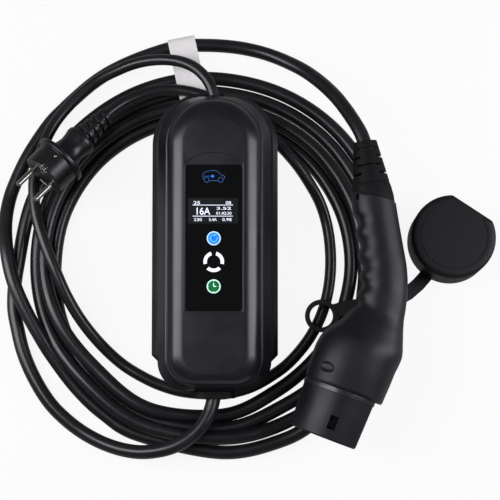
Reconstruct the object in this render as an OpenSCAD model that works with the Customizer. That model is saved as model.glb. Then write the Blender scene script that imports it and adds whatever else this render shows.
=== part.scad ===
// Portable charger for electric cars: control box, mains lead with earthed plug, coiled charge cable,
// vehicle connector and its rubber cap, as they lie on a table.
// Every assembly is drawn in a frame of its own and then placed by the Layout values.

/* [Control box] */
// Width over the side wings
box_w = 103; // [99:1:110]
// Width of the body between the wings
body_w = 92; // [88:1:95]
// Length of the body
box_l = 240; // [232:1:255]
// Depth from the back to the front face
box_d = 56; // [52:1:62]
// Depth of the rear shell
rear_d = 26; // [25:0.5:28]
// Wall thickness of both shells
wall = 2.6; // [2.2:0.1:3]
// Thickness of the front face round the window
face_t = 5; // [4.6:0.1:5.6]
// Corner radius of the body at the mains end
top_r = 38; // [32:1:40]
// Corner radius of the body at the cable end
foot_r = 24; // [18:1:28]
// Corner radius of the flat front face
face_r = 12; // [8:1:16]
// Depth of the side wings
wing_d = 20; // [16:1:22]
// Slope at the front edge of the wings
wing_slope = 4; // [2:0.5:5]
// How far the wings pass the mains end of the body
wing_rise = 4.5; // [2:0.5:6]
// Distance from the cable end of the body to the wing ends
wing_stop = 23; // [16:1:30]
// Chamfer at the wing ends
wing_cut = 6; // [3:0.5:8]
// Thickness of the gasket between the shells
seal_t = 1; // [0.6:0.1:1.6]
// Height of the straight skirt of the front shell
skirt_h = 14; // [11:0.5:15]
// How far the skirt leans in
skirt_in = 4; // [3:0.5:5]
// Width of the step line above the skirt
step_w = 0.8; // [0.4:0.1:1.2]
// Rounding of the front edge at the sides
round_side = 13; // [10:0.5:15]
// Rounding of the front edge at the mains end
round_top = 21; // [14:0.5:24]
// Rounding of the front edge at the cable end
round_foot = 11; // [8:0.5:14]

/* [Window] */
// Width of the window panel
window_w = 45; // [43:0.5:47]
// Length of the window panel
window_l = 116; // [110:1:120]
// Middle of the window above the middle of the box
window_y = 2; // [-2:0.5:6]
// Thickness of the window panel
window_t = 1.6; // [1.2:0.1:2]
// Corner radius of the window panel
window_r = 2.5; // [1.5:0.5:4]
// Depth of the recess that the window lies in
recess_d = 0.8; // [0.5:0.1:1.2]
// Rim of the recess round the window
recess_rim = 1; // [0.6:0.1:1.6]
// Rise of the arch over the window
recess_rise = 9; // [6:0.5:11]
// Ledge that the window rests on
ledge_w = 2.5; // [2:0.1:3]
// Gap round pieces that drop into a pocket
slip = 0.15; // [0.1:0.05:0.25]
// Width of the screen
screen_w = 39; // [34:0.5:39.5]
// Length of the screen along the box
screen_l = 22; // [18:0.5:26]
// Thickness of the screen module
screen_t = 4; // [3:0.1:5]
// Middle of the screen above the middle of the window
screen_y = 20.5; // [18:0.5:24]
// Radius of the two round icons
icon_r = 6; // [5:0.1:7]
// Outer radius of the three-part ring
ring_r = 8.4; // [7.5:0.1:8.8]
// Radial width of the three-part ring
ring_w = 2.8; // [2:0.1:3.4]
// Angle of each part of the ring
ring_part = 88; // [70:1:100]
// Middle of the upper icon above the middle of the window
icon_y = -0.5; // [-2:0.5:1]
// Spacing of the icons
icon_pitch = 18.5; // [17:0.5:19]

/* [Boards and inner pieces] */
// Width of the main board
board_w = 64; // [56:1:66]
// Distance of the main board from the ends of the box
board_gap = 37; // [35:1:45]
// Thickness of the circuit boards
board_t = 1.6; // [1.2:0.1:2]
// Height of the posts under the main board
post_h = 5; // [4:0.5:7]
// Radius of the board posts
post_r = 3.6; // [3:0.1:4]
// Distance of the board screws from the board edges
screw_edge = 6; // [5:0.5:8]
// Shank diameter of the board screws
pin_d = 2.6; // [2.2:0.1:3]
// Head diameter of the board screws
pin_head_d = 5; // [4.4:0.1:5.6]
// Rim of the display board round the window
display_rim = 3; // [2.6:0.1:4]
// Gap between neighbouring pieces on the main board
piece_gap = 5; // [4:0.5:6]
// Width, length and height of each relay
relay = [15, 32, 25]; // [8:0.5:34]
// Outer diameter of the current sensor
sensor_d = 26; // [22:0.5:28]
// Hole diameter of the current sensor
sensor_bore = 13; // [10:0.5:15]
// Height of the current sensor
sensor_h = 12; // [9:0.5:15]
// Width, length and height of the supply module
supply = [24, 38, 20]; // [16:0.5:42]
// Width, length and height of the filter capacitor
capacitor = [9, 26, 18]; // [7:0.5:28]
// Width, length and height of each terminal block
terminal = [34, 12, 15]; // [9:0.5:38]
// Diameter of one conductor with its insulation
wire_d = 3.2; // [2.6:0.1:3.6]
// Length of each cord clamp along the cord
clamp_l = 9; // [7:0.5:11]
// Material of a cord clamp beside the cord
clamp_side = 7; // [5:0.5:9]

/* [Housing screws] */
// Shank diameter of the housing screws
screw_d = 3; // [2.6:0.1:3.4]
// Head diameter of the housing screws
head_d = 5.6; // [5:0.1:6]
// Head height of the housing screws
head_h = 2.4; // [2:0.1:3]
// Depth of the well that a screw head sits in
well_d = 15; // [10:0.5:17]
// Wall of the screw bosses round the well
boss_wall = 1.4; // [1.2:0.1:1.6]
// Depth of thread in the front shell
thread_l = 7; // [5:0.5:7.5]
// Distance of the outer screws from the middle of the box
screw_span = 82; // [76:1:84]

/* [Cables] */
// Diameter of the mains lead
lead_d = 9.5; // [8.5:0.1:10]
// Diameter of the charge cable
cable_d = 11.5; // [10.5:0.1:12]
// Gap round a cable in a bore
bore_gap = 0.15; // [0.1:0.05:0.3]
// Width of the bush at the cable end
bush_w = 34; // [28:1:38]
// Height of the bush at the cable end
bush_h = 20; // [18:0.5:21]
// Diameter of the bush at the mains end
lead_bush_d = 16; // [14:0.5:16.5]
// Length of the bush at the cable end outside the box
bush_out = 6; // [4:0.5:8]
// Length of the bush at the mains end outside the box
lead_out = 2; // [1:0.5:4]
// Flange of a bush over the edge of its hole
bush_lip = 2; // [1.4:0.1:2.4]
// Thickness of the inner flange of a bush
bush_in = 2; // [1.5:0.1:3]

/* [Mains plug] */
// Diameter of the plug face
face_d = 37; // [35:0.5:39]
// Length of the plug in front of its flange
face_l = 19; // [17:0.5:21]
// Diameter of the flange
flange_d = 48; // [44:0.5:50]
// Thickness of the flange
flange_t = 5; // [4:0.5:6]
// Width of the neck behind the flange
neck_w = 33; // [28:0.5:36]
// Thickness of the neck behind the flange
neck_t = 26; // [22:0.5:30]
// Length of the neck
neck_l = 24; // [20:0.5:28]
// Length of the ribbed strain relief
relief_l = 26; // [22:0.5:30]
// Diameter of the strain relief at the neck
relief_d = 19; // [17:0.5:21]
// Diameter of the strain relief at the cord
relief_end_d = 14; // [12.5:0.5:15]
// Ribs on a strain relief
relief_ribs = 4; // [3:1:5]
// Diameter of the plug pins
plug_pin_d = 4.8; // [4.6:0.1:5]
// Length of the plug pins in front of the face
plug_pin_l = 19; // [18:0.5:20]
// Spacing of the plug pins
plug_pin_gap = 19; // [18:0.5:20]
// Diameter of the pins inside the plug
pin_root_d = 3.8; // [3.4:0.1:4.2]
// Length of the pins inside the plug
pin_root = 15; // [12:0.5:17]
// Width of the earth clips
clip_w = 8; // [6:0.5:10]
// Thickness of the earth clips
clip_t = 1; // [0.8:0.1:1.4]
// Length of the earth clips
clip_l = 17; // [14:0.5:18]
// Depth of the grooves for the earth clips
clip_groove = 3.2; // [2.8:0.1:3.8]

/* [Vehicle connector] */
// Diameter of the nose
nose_d = 63; // [61:0.5:65]
// Height of the nose from its flat side
nose_h = 57; // [55:0.5:59]
// Length of the nose in front of the handle seam
nose_l = 36; // [33:0.5:40]
// How much narrower the mouth is than the seam
nose_taper = 1.5; // [0.5:0.1:2]
// Wall of the nose
nose_wall = 2.6; // [2.2:0.1:3]
// Rounding of the mouth edge
lip_r = 1.2; // [0.8:0.1:1.6]
// Width of the locking slot
slot_w = 6.6; // [5:0.1:8]
// Length of the locking slot
slot_l = 11; // [9:0.5:13]
// Distance of the locking slot from the mouth
slot_at = 13.5; // [12:0.5:16]
// Width of the ring at the seam
band_w = 4; // [3:0.5:5]
// How far the contact carrier lies back from the mouth
recess_l = 10; // [8.5:0.5:12]
// Gap round the contact carrier for the car's socket wall
mate_gap = 4.6; // [4.2:0.1:5]
// Length of the contact carrier
carrier_l = 34; // [30:0.5:38]
// Bore of the power contacts
power_d = 6; // [5.8:0.1:6.2]
// Bore of the signal contacts
signal_d = 3; // [2.8:0.1:3.2]
// Wall of the contact sockets
contact_wall = 1.1; // [0.9:0.1:1.3]
// Depth of the bore of the contact sockets
contact_bore = 24; // [20:0.5:26]
// Solid tail behind the bore of the contact sockets
contact_tail = 10; // [8:0.5:12]
// How far the contact sockets lie back in the carrier
contact_back = 2; // [1:0.5:3]
// Spacing of the outer contacts of the middle row
row_gap = 33; // [31:0.5:34]
// Half spacing of the contacts of the other rows
row_half = 8.5; // [8:0.1:9.5]
// Distance of the lower row from the middle row
row_low = 14.5; // [13.5:0.1:15.5]
// Distance of the signal row from the middle row
row_high = 12.5; // [12:0.1:13]
// Width of the handle at the shoulder
shoulder_w = 67; // [65:0.5:70]
// Thickness of the handle at the shoulder
shoulder_t = 66; // [64:0.5:68]
// Width of the handle at the neck
neck_grip_w = 42; // [39:0.5:46]
// Width of the grip
grip_w = 36; // [33:0.5:40]
// Thickness of the grip
grip_t = 36; // [33:0.5:40]
// Wall of the handle
handle_wall = 3; // [2.6:0.1:3.4]
// Depth of the finger hollows
finger_d = 1.8; // [1:0.1:2.4]
// Spacing of the finger hollows
finger_pitch = 25; // [22:0.5:28]
// Length of the handle ahead of its bend
handle_front = 60; // [56:1:66]
// Radius of the bend of the handle
bend_r = 100; // [85:1:120]
// Angle of the bend of the handle
bend_a = 28.5; // [22:0.5:32]
// Length of the handle behind its bend
handle_rear = 64; // [58:1:72]
// Sideways shift of the grip at the neck
neck_shift = 5; // [2:0.5:7]
// Length of the cable boot outside the handle
boot_l = 34; // [28:1:38]
// Length of the cable boot inside the handle
boot_root = 8; // [6:0.5:10]
// Diameter of the cable boot at the handle
boot_d = 30; // [28:0.5:31]
// Diameter of the cable boot at the cable
boot_end_d = 19; // [17:0.5:22]
// Ribs on the cable boot
boot_ribs = 5; // [4:1:6]
// Length of the grip on the cable inside the handle
cord_grip_l = 12; // [9:0.5:14]
// Diameter of the handle screws
handle_screw_d = 3; // [2.6:0.1:3.4]

/* [Protective cap] */
// Gap between the cap and the nose
cap_gap = 0.5; // [0.3:0.1:0.8]
// Wall of the cap
cap_wall = 3; // [2.4:0.1:3.6]
// Height of the cap
cap_h = 34; // [28:0.5:38]
// Thickness of the cap's top
cap_top = 3; // [2.4:0.1:4]
// Rounding of the cap's edges
cap_round = 4; // [3:0.5:5]
// Radius of the ring line on the cap
cap_ring_r = 27; // [24:0.5:28]
// Width of the strap
strap_w = 11.5; // [10:0.5:13]
// Thickness of the strap
strap_t = 3; // [2.4:0.1:3.6]
// Outer radius of the strap's ring
loop_r = 13.5; // [12:0.5:15]
// Width of the band of the strap's ring
loop_w = 4; // [3.5:0.1:5]

/* [Coil] */
// Outer radius of the coil
coil_r = 157; // [150:1:157]
// Width of the coil
coil_w = 39; // [34:1:39]
// Height of the coil
coil_h = 18; // [16:0.5:18]
// Width of the tape round the coil
tie_w = 22; // [16:1:26]
// Thickness of the tape
tie_t = 0.6; // [0.4:0.1:0.9]

/* [Hidden] */
$fn = 48;
far = 400;
thin = 0.02;

// Layout on the table, measured from the middle of the coil's clearing
box_at = [13.5, 17, 20.3];
box_tilt = 5;
plug_at = [-113.5, 85, 42.3];
plug_turn = -42;
plug_tilt = -11;
connector_at = [102, -142.5, 48];
connector_turn = -21;
connector_tilt = 3.5;
cap_at = [210, 22.5, 0];
cap_turn = 56;
coil_at = [2.5, 3, 0];
tie_turn = 6;

// The origin is under the middle of the box, the connector and the cap
cap_r = nose_d / 2 + cap_gap + cap_wall;
left_edge = box_at.x - box_w / 2;
right_edge = cap_at.x + cap_r;
back_edge = box_at.y + (box_l / 2 + wing_rise) * cos(box_tilt);
front_edge = connector_at.y - 9;
origin = [(left_edge + right_edge) / 2, (front_edge + back_edge) / 2, 0];

// Control box, from its back
parting = rear_d + seal_t;
skirt_top = parting + skirt_h;
exit_z = rear_d / 2 + 2;
boss_r = head_d / 2 + slip + boss_wall;
boss_x = body_w / 2 - wall - boss_r + 0.8;
screw_places = [for (x = [-1, 1], y = [-1, 0, 1]) [x * boss_x, y * screw_span]];
board_l = box_l - 2 * board_gap;
board_z = wall + post_h;
board_top = board_z + board_t;
window_z = box_d - recess_d - window_t;
opening_w = window_w - 2 * ledge_w;
opening_l = window_l - 2 * ledge_w;
display_w = window_w + 2 * display_rim;
display_l = window_l + 2 * display_rim;
display_z = window_z - screen_t - board_t;
post_places = [for (x = [-1, 1], y = [-1, 1])
    [x * (board_w / 2 - screw_edge), y * (board_l / 2 - screw_edge)]];
stud_places = [for (x = [-1, 1], y = [-1, 1])
    [x * (window_w / 2 - ledge_w / 4), window_y + y * (window_l / 2 + display_rim / 2 - 0.2)]];
wire_end = board_l / 2 - screw_edge - pin_head_d / 2 + 4;
terminal_y = wire_end - terminal.y / 2;
supply_y = terminal_y - terminal.y / 2 - piece_gap - supply.y / 2;
sensor_y = supply_y - supply.y / 2 - piece_gap - sensor_d / 2;
relay_y = sensor_y - sensor_d / 2 - piece_gap - relay.y / 2;
lead_bore = lead_d + 2 * bore_gap;
cable_bore = cable_d + 2 * bore_gap;
end_wall = box_l / 2 - wall;
clamp_out = end_wall - bush_in - 3;
clamp_in = clamp_out - clamp_l;

// Mains plug, from the middle of its flange, pins towards -Y
plug_front = -flange_t / 2 - face_l;
neck_end = flange_t / 2 + neck_l;
relief_end = neck_end + relief_l;
lead_root = 6;
bridge = [plug_pin_gap + 9, pin_root - 3, 12];
bridge_y = plug_front + 6;
clip_z = face_d / 2 - clip_groove;

// Vehicle connector, from the middle of its mouth, handle towards +Y
nose_r = nose_d / 2;
nose_flat = nose_h - nose_r;
bore_r = nose_r - nose_wall - nose_taper;
bore_flat = nose_flat - nose_wall - nose_taper;
seam_y = nose_l + band_w;
tail_l = 14;
tail_r = nose_r - 3.5;
carrier_r = bore_r - mate_gap;
carrier_flat = bore_flat - mate_gap;
carrier_end = recess_l + carrier_l;
power_places = [[0, 0], [0, row_gap / 2], [0, -row_gap / 2]];
blank_places = [[-row_low, row_half], [-row_low, -row_half]];
signal_places = [[row_high, row_half], [row_high, -row_half]];
straight_l = 24;
grip_end = handle_front + bend_r * bend_a * PI / 180 + handle_rear;
handle_screw_places = [[grip_end - 11, -13.5], [handle_front + 22, -9]];
handle_head_z = 4;
handle_screw_l = 9;
mark_l = 12;
mark_w = 5;
mark_at = [-27.6, seam_y + 12, shoulder_t / 2 + 9];

// Cap, strap and ring: the ring lies on the coil
loop_at = [101, -42];
loop_z = coil_h + 0.3;
strap_route = [
    [190, -6, 6], [183, -14, 7], [174, -22, 13], [164, -28, 19.6], [152, -31, loop_z + strap_t / 2],
    [136, -33, loop_z + strap_t / 2], [122, -35, loop_z + strap_t / 2], [112, -38, loop_z + strap_t / 2]
];

// Points of a box, plug or connector frame in the layout
function tilted(p, a) = [p.x, p.y * cos(a) - p.z * sin(a), p.y * sin(a) + p.z * cos(a)];
function turned(p, a) = [p.x * cos(a) - p.y * sin(a), p.x * sin(a) + p.y * cos(a), p.z];
function box_point(p) = box_at + tilted(p, box_tilt);
function plug_point(p) = plug_at + turned(tilted(p, plug_tilt), plug_turn);
function connector_point(p) = connector_at + turned(tilted(p, connector_tilt), connector_turn);

// Mains lead, from inside the box to inside the plug
lead_route = [
    box_point([0, clamp_in, exit_z]), box_point([0, box_l / 2 + lead_out + 1, exit_z]),
    [11, 150, 46], [5, 161, 44.5], [-4, 169, 41], [-15, 173.5, 36.5], [-29, 176.5, 31], [-46, 177, 25.5],
    [-64, 174.5, 20.5],
    [-82, 167, 17], [-99, 153, 16], [-113, 135, 17], [-123, 119, 19], [-130, 105, 21.5],
    [-136, 87, 23.2], [-138, 70, 23.2], [-137, 51, 23.2], [-133, 33, 23.2], [-126, 13, 23.2],
    [-118, -6, 23.2], [-110, -24, 23.2], [-99, -43, 17], [-84, -62, 9], [-66, -79, 5], [-49, -90, 5],
    [-32, -98, 5], [-15, -103, 5], [3, -105, 5], [22, -105, 5], [42, -100, 5], [59, -91, 5],
    [75, -79, 5], [91, -60, 5], [102, -39, 5], [108, -17, 5], [110, 7, 5], [108, 32, 5],
    [102, 53, 7.5], [92, 70, 14.5], [81, 84, 22.3], [69, 101, 23], [48, 118, 23.2], [22, 136, 23.2],
    [-6, 147, 23.2], [-32, 149, 23.4], [-56, 141, 26.5],
    plug_point([0, relief_end + 4, 0]), plug_point([0, lead_root, 0])
];

// Charge cable, from inside the box to the coil
start_route = [
    box_point([0, -clamp_in, exit_z]), box_point([0, -box_l / 2 - bush_out - 3, exit_z]),
    [12, -121, 24.6], [7, -131, 24.8], [-3, -140, 24.8], [-18, -147, 24.8], [-36, -152, 24.5],
    [-54, -152, 18.5], [-72, -147, 10], [-90, -140, 6], [-108, -128, 6], [-123, -113, 6], [-135, -95, 6],
    [-145, -74, 6], [-152, -53, 6], [-158, -30, 6]
];

// Charge cable, from the coil over its edge and round the outside into the connector
tied_point = [-20, 192, 6.5];
end_route = [
    [-118, -75, 23.9], [-132, -56, 23.9], [-144, -36, 23.9], [-154, -13, 24.5], [-160, 11, 22.5],
    [-163, 36, 14], [-161, 58, 7.5],
    [-156, 77, 6], [-150, 94, 6], [-143, 111, 6], [-132, 132, 6], [-119, 149, 6], [-103, 163, 6],
    [-86, 173, 6], [-67, 181, 6], [-45, 188, 6.5], tied_point, [5, 193, 6.5], [30, 191, 6],
    [54, 186, 6], [76, 177, 7.5], [94, 165, 13], [108, 149, 24], [119, 132, 38], [126, 118, 50],
    connector_point(handle_point(grip_end + boot_l + 4)),
    connector_point(handle_point(grip_end - boot_root - cord_grip_l))
];

// Middle of the handle at a distance behind the seam: straight, then a bend, then straight
function handle_point(s) =
    let (
        a = s < handle_front ? 0 : min((s - handle_front) / bend_r * 180 / PI, bend_a),
        rest = max(0, s - handle_front - bend_r * bend_a * PI / 180),
        shift = neck_shift * ease((s - straight_l) / (handle_front - straight_l))
    )
    [
        shift - bend_r * (1 - cos(a)) - rest * sin(bend_a),
        seam_y + min(s, handle_front) + bend_r * sin(a) + rest * cos(bend_a),
        0
    ];

// Smooth step from 0 to 1
function ease(t) = let (k = max(0, min(1, t))) k * k * (3 - 2 * k);

// Half widths and half thickness of the handle: distance behind the seam, half width, half thickness
handle_stations = [
    [0, shoulder_w / 2 - 1, shoulder_t / 2 - 1],
    [straight_l, shoulder_w / 2, shoulder_t / 2],
    [40, shoulder_w / 2 - 1, shoulder_t / 2 - 1.5],
    [handle_front - 5, (shoulder_w + neck_grip_w) / 4 - 1, (shoulder_t + grip_t) / 4],
    [handle_front + 8, neck_grip_w / 2, grip_t / 2 + 2],
    [handle_front + 34, (neck_grip_w + grip_w) / 4, grip_t / 2 + 1],
    [grip_end - 40, grip_w / 2, grip_t / 2],
    [grip_end - 12, grip_w / 2 - 0.6, grip_t / 2 - 0.5],
    [grip_end, grip_w / 2 - 2, grip_t / 2 - 2]
];
handle_rows = curve(handle_stations, 3);
handle_sides = 28;

// Curve through the rows of a list, with steps points between rows
function curve(rows, steps) = [
    for (i = [0 : len(rows) - 2], k = [0 : steps - 1])
        let (
            a = rows[max(i - 1, 0)],
            b = rows[i],
            c = rows[i + 1],
            d = rows[min(i + 2, len(rows) - 1)],
            t = k / steps
        )
        b + (c - a) / 2 * t + (2 * a - 5 * b + 4 * c - d) / 2 * t * t
            + (3 * b - a - 3 * c + d) / 2 * t * t * t,
    rows[len(rows) - 1]
];

// Wave of the finger hollows, under the grip only
function finger(s) =
    let (t = (s - handle_front - 6) / finger_pitch)
    t < 0 || t > 3 ? 0 : finger_d * (1 - cos(360 * t)) / 2;

// Points of a circle, and of an oval with its own left half width
function round_points(r, n) = [for (k = [0 : n - 1]) r * [cos(360 * k / n), sin(360 * k / n)]];
function bulge(v, p) = sign(v) * pow(abs(v), p);
function oval_points(right, left, half_t, n) = [
    for (k = [0 : n - 1])
        let (c = bulge(cos(360 * k / n), 0.86), s = bulge(sin(360 * k / n), 0.86))
        [c > 0 ? right * c : left * c, half_t * s]
];

// Direction of a path at its point i
function along(path, i) =
    let (v = path[min(i + 1, len(path) - 1)] - path[max(i - 1, 0)])
    v / norm(v);

// Solid that carries one flat section for each point of a path
module sweep(path, sections) {
    n = len(sections[0]);
    last = len(path) - 1;
    points = [
        for (i = [0 : last])
            let (t = along(path, i), side = cross(t, [0, 0, 1]), s = side / norm(side), u = cross(s, t))
            each [for (p = sections[i]) path[i] + p.x * s + p.y * u]
    ];
    faces = [
        [for (k = [n - 1 : -1 : 0]) k],
        for (i = [0 : last - 1], k = [0 : n - 1])
            let (m = (k + 1) % n)
            each [
                [i * n + k, i * n + m, (i + 1) * n + m],
                [i * n + k, (i + 1) * n + m, (i + 1) * n + k]
            ],
        [for (k = [0 : n - 1]) last * n + k]
    ];
    polyhedron(points, faces);
}

// Plain round cord along a path
module cord(path, d) {
    sweep(path, [for (p = path) round_points(d / 2, 10)]);
}

// Cylinder along +Y from y0 to y1
module rod(d, y0, y1) {
    translate([0, y0, 0]) rotate([-90, 0, 0]) cylinder(d = d, h = y1 - y0);
}

// Flat shape in X and Z, drawn along +Y from y0 to y1
module along_y(y0, y1) {
    translate([0, y1, 0]) rotate([90, 0, 0]) linear_extrude(y1 - y0) children();
}

// Revolved shape round the Y axis: the profile has its radius in X and its place in Y
module turned_y() {
    rotate([-90, 0, 0]) rotate_extrude() children();
}

// Block on a board or floor
module block(size, x, y, z) {
    translate([x - size.x / 2, y - size.y / 2, z]) cube(size);
}

// Places of the assemblies
module on_table() {
    translate(-origin) children();
}

module in_box() {
    on_table() translate(box_at) rotate([box_tilt, 0, 0]) children();
}

module in_plug() {
    on_table() translate(plug_at) rotate([0, 0, plug_turn]) rotate([plug_tilt, 0, 0]) children();
}

module in_connector() {
    on_table() translate(connector_at) rotate([0, 0, connector_turn]) rotate([connector_tilt, 0, 0])
        children();
}

// Rectangle with one corner radius at the top and another at the foot
module rounded_plate(w, foot, top, r_top, r_foot) {
    for (x = [-1, 1]) {
        translate([x * (w / 2 - r_top), top - r_top]) circle(r_top);
        translate([x * (w / 2 - r_foot), foot + r_foot]) circle(r_foot);
    }
    translate([-w / 2, foot + r_foot]) square([w, top - r_top - foot - r_foot]);
    translate([-w / 2 + r_top, foot + r_foot]) square([w - 2 * r_top, top - foot - r_foot]);
    translate([-w / 2 + r_foot, foot]) square([w - 2 * r_foot, top - foot - r_top]);
}

// Outline of the body, drawn in by an inset
module body_plate(inset) {
    half = box_l / 2 - inset;
    rounded_plate(body_w - 2 * inset, -half, half, top_r - inset, foot_r - inset);
}

// Outline of the side wings, with an arch at the mains end and chamfers at the other
module wing_plate(inset) {
    w = box_w / 2 - inset;
    foot = wing_stop - box_l / 2;
    top = box_l / 2 + wing_rise - inset;
    r = top_r + box_w / 2 - body_w / 2 - inset;
    for (x = [-1, 1]) translate([x * (w - r), top - r]) circle(r);
    translate([-w + r, top - 2 * r]) square([2 * w - 2 * r, 2 * r]);
    polygon([
        [-w, foot + wing_cut], [-w + wing_cut, foot], [w - wing_cut, foot], [w, foot + wing_cut],
        [w, top - r], [-w, top - r]
    ]);
}

// Holes for the screws of the housing
module screw_columns(d, z0, z1) {
    for (p = screw_places) translate([p.x, p.y, z0]) cylinder(d = d, h = z1 - z0);
}

module rear_shell() {
    color("#2b2c2e") in_box() difference() {
        union() {
            difference() {
                union() {
                    linear_extrude(rear_d) body_plate(0);
                    linear_extrude(wing_d - wing_slope) wing_plate(0);
                    hull() {
                        translate([0, 0, wing_d - wing_slope]) linear_extrude(thin) wing_plate(0);
                        translate([0, 0, wing_d - thin]) linear_extrude(thin) wing_plate(wing_slope);
                    }
                }
                translate([0, 0, wall]) linear_extrude(rear_d) body_plate(wall);
            }
            intersection() {
                screw_columns(2 * boss_r, wall / 2, rear_d);
                linear_extrude(rear_d) body_plate(wall / 2);
            }
            for (p = post_places) translate([p.x, p.y, wall / 2])
                cylinder(r = post_r, h = board_z - wall / 2);
        }
        screw_columns(head_d + 2 * slip, -1, well_d);
        screw_columns(screw_d + 2 * slip, well_d - 1, rear_d + 1);
        for (p = post_places) translate([p.x, p.y, wall]) cylinder(d = pin_d + 2 * slip, h = board_z);
        translate([0, 0, exit_z]) {
            rod(lead_bush_d, end_wall - 1, box_l / 2 + wing_rise + 1);
            along_y(-box_l / 2 - 1, 1 - end_wall) bush_outline(0);
        }
    }
}

// Flat oval of the bush at the cable end
module bush_outline(grow) {
    r = bush_h / 2 + grow - bush_lip;
    for (x = [-1, 1]) translate([x * (bush_w - bush_h) / 2, 0]) circle(r);
    square([bush_w - bush_h, 2 * r], center = true);
}

// One slice of the front shell: inset at the sides, the mains end and the cable end
module shell_slice(z, side, top, foot, r_top, r_foot) {
    translate([0, 0, z]) linear_extrude(thin)
        rounded_plate(body_w - 2 * side, foot - box_l / 2, box_l / 2 - top, r_top, r_foot);
}

// Rounded front of the box, drawn in by an inset
module dome(z0, z1, inset) {
    hull() for (a = [0 : 10 : 90]) {
        k = 1 - cos(a);
        shell_slice(
            z0 + (z1 - z0 - thin) * sin(a), skirt_in + step_w + inset + (round_side - step_w) * k,
            skirt_in + step_w + inset + (round_top - step_w) * k,
            skirt_in + step_w + inset + (round_foot - step_w) * k,
            top_r - skirt_in - inset - (top_r - skirt_in - inset - face_r) * k,
            foot_r - skirt_in - inset - (foot_r - skirt_in - inset - face_r) * k
        );
    }
}

// Arched outline of the recess round the window
module recess_outline() {
    half = window_w / 2 + recess_rim;
    foot = window_y - window_l / 2 - recess_rim;
    top = window_y + window_l / 2 + recess_rim;
    r = (half * half + recess_rise * recess_rise) / 2 / recess_rise;
    translate([-half, foot]) square([2 * half, top - foot]);
    intersection() {
        translate([0, top + recess_rise - r]) circle(r, $fn = 96);
        translate([-half, top - 1]) square([2 * half, recess_rise + 2]);
    }
}

// Outline of the window panel
module window_outline(grow) {
    translate([0, window_y]) rounded_plate(
        window_w + 2 * grow, -window_l / 2 - grow, window_l / 2 + grow, window_r + grow, window_r + grow);
}

module front_shell() {
    color("#3a3b3e") in_box() difference() {
        union() {
            difference() {
                union() {
                    hull() {
                        shell_slice(parting, 0, 0, 0, top_r, foot_r);
                        shell_slice(skirt_top - thin, skirt_in, skirt_in, skirt_in, top_r - skirt_in,
                            foot_r - skirt_in);
                    }
                    dome(skirt_top - 1, box_d, 0);
                }
                hull() {
                    shell_slice(parting - thin, wall, wall, wall, top_r - wall, foot_r - wall);
                    shell_slice(skirt_top, skirt_in + wall, skirt_in + wall, skirt_in + wall,
                        top_r - skirt_in - wall, foot_r - skirt_in - wall);
                }
                dome(skirt_top - 2, box_d - face_t, wall);
            }
            intersection() {
                screw_columns(2 * boss_r, parting, parting + thread_l + 2);
                hull() {
                    shell_slice(parting, wall / 2, wall / 2, wall / 2, top_r, foot_r);
                    shell_slice(skirt_top, skirt_in + wall / 2, skirt_in + wall / 2, skirt_in + wall / 2,
                        top_r - skirt_in, foot_r - skirt_in);
                }
            }
            for (p = stud_places) translate([p.x, p.y, display_z + board_t])
                cylinder(d = pin_head_d, h = box_d - face_t - display_z - board_t + 1);
        }
        screw_columns(screw_d + 2 * slip, parting - 1, parting + thread_l + 1);
        for (p = stud_places) translate([p.x, p.y, display_z])
            cylinder(d = pin_d + 2 * slip, h = board_t + 3.2);
        translate([0, 0, box_d - recess_d]) linear_extrude(far) recess_outline();
        translate([0, 0, window_z]) linear_extrude(far) window_outline(slip);
        translate([0, 0, window_z - face_t - 1]) linear_extrude(far) window_outline(-ledge_w);
    }
}

module housing_seal() {
    color("#1c1c1d") in_box() translate([0, 0, rear_d]) linear_extrude(seal_t) difference() {
        body_plate(0);
        body_plate(wall);
    }
}

// Screw with a round head at z, its shank upwards
module screw_up(z, d, head, height, length) {
    translate([0, 0, z]) {
        cylinder(d = head, h = height);
        cylinder(d = d, h = length);
    }
}

module housing_screws() {
    color("#8d8f92") in_box() for (p = screw_places) translate([p.x, p.y, 0]) difference() {
        screw_up(well_d - head_h, screw_d, head_d, head_h, head_h + parting - well_d + thread_l);
        translate([0, 0, well_d - head_h - 1]) cylinder(d = screw_d * 0.8, h = 2, $fn = 6);
    }
}

module window_panel() {
    color("#0b0b0d") in_box() translate([0, 0, window_z]) linear_extrude(window_t) window_outline(0);
}

module display_module() {
    color("#1b2430") in_box()
        block([screen_w, screen_l, screen_t], 0, window_y + screen_y, window_z - screen_t);
}

module icon_guides() {
    color("#d8e4ee") in_box() translate([0, window_y, window_z - screen_t]) {
        for (k = [0, 2]) translate([0, icon_y - k * icon_pitch, 0]) cylinder(r = icon_r, h = screen_t);
        translate([0, icon_y - icon_pitch, 0]) for (a = [30 : 120 : 270]) rotate([0, 0, a - ring_part / 2])
            rotate_extrude(angle = ring_part) translate([ring_r - ring_w, 0]) square([ring_w, screen_t]);
    }
}

module display_board() {
    color("#2f5a3a") in_box() difference() {
        block([display_w, display_l, board_t], 0, window_y, display_z);
        for (p = stud_places) translate([p.x, p.y, display_z - 1]) cylinder(d = pin_d + 2 * slip, h = far);
    }
}

module main_board() {
    color("#2f5a3a") in_box() difference() {
        block([board_w, board_l, board_t], 0, 0, board_z);
        for (p = post_places) translate([p.x, p.y, 0]) cylinder(d = pin_d + 2 * slip, h = far);
    }
}

module board_screws() {
    color("#b9bcc0") in_box() {
        for (p = post_places) translate([p.x, p.y, board_top]) mirror([0, 0, 1])
            screw_up(-pin_d * 0.7, pin_d, pin_head_d, pin_d * 0.7, pin_d * 0.7 + board_t + post_h - 1);
        for (p = stud_places) translate([p.x, p.y, 0])
            screw_up(display_z - pin_d * 0.7, pin_d, pin_head_d, pin_d * 0.7, pin_d * 0.7 + board_t + 3);
    }
}

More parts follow.
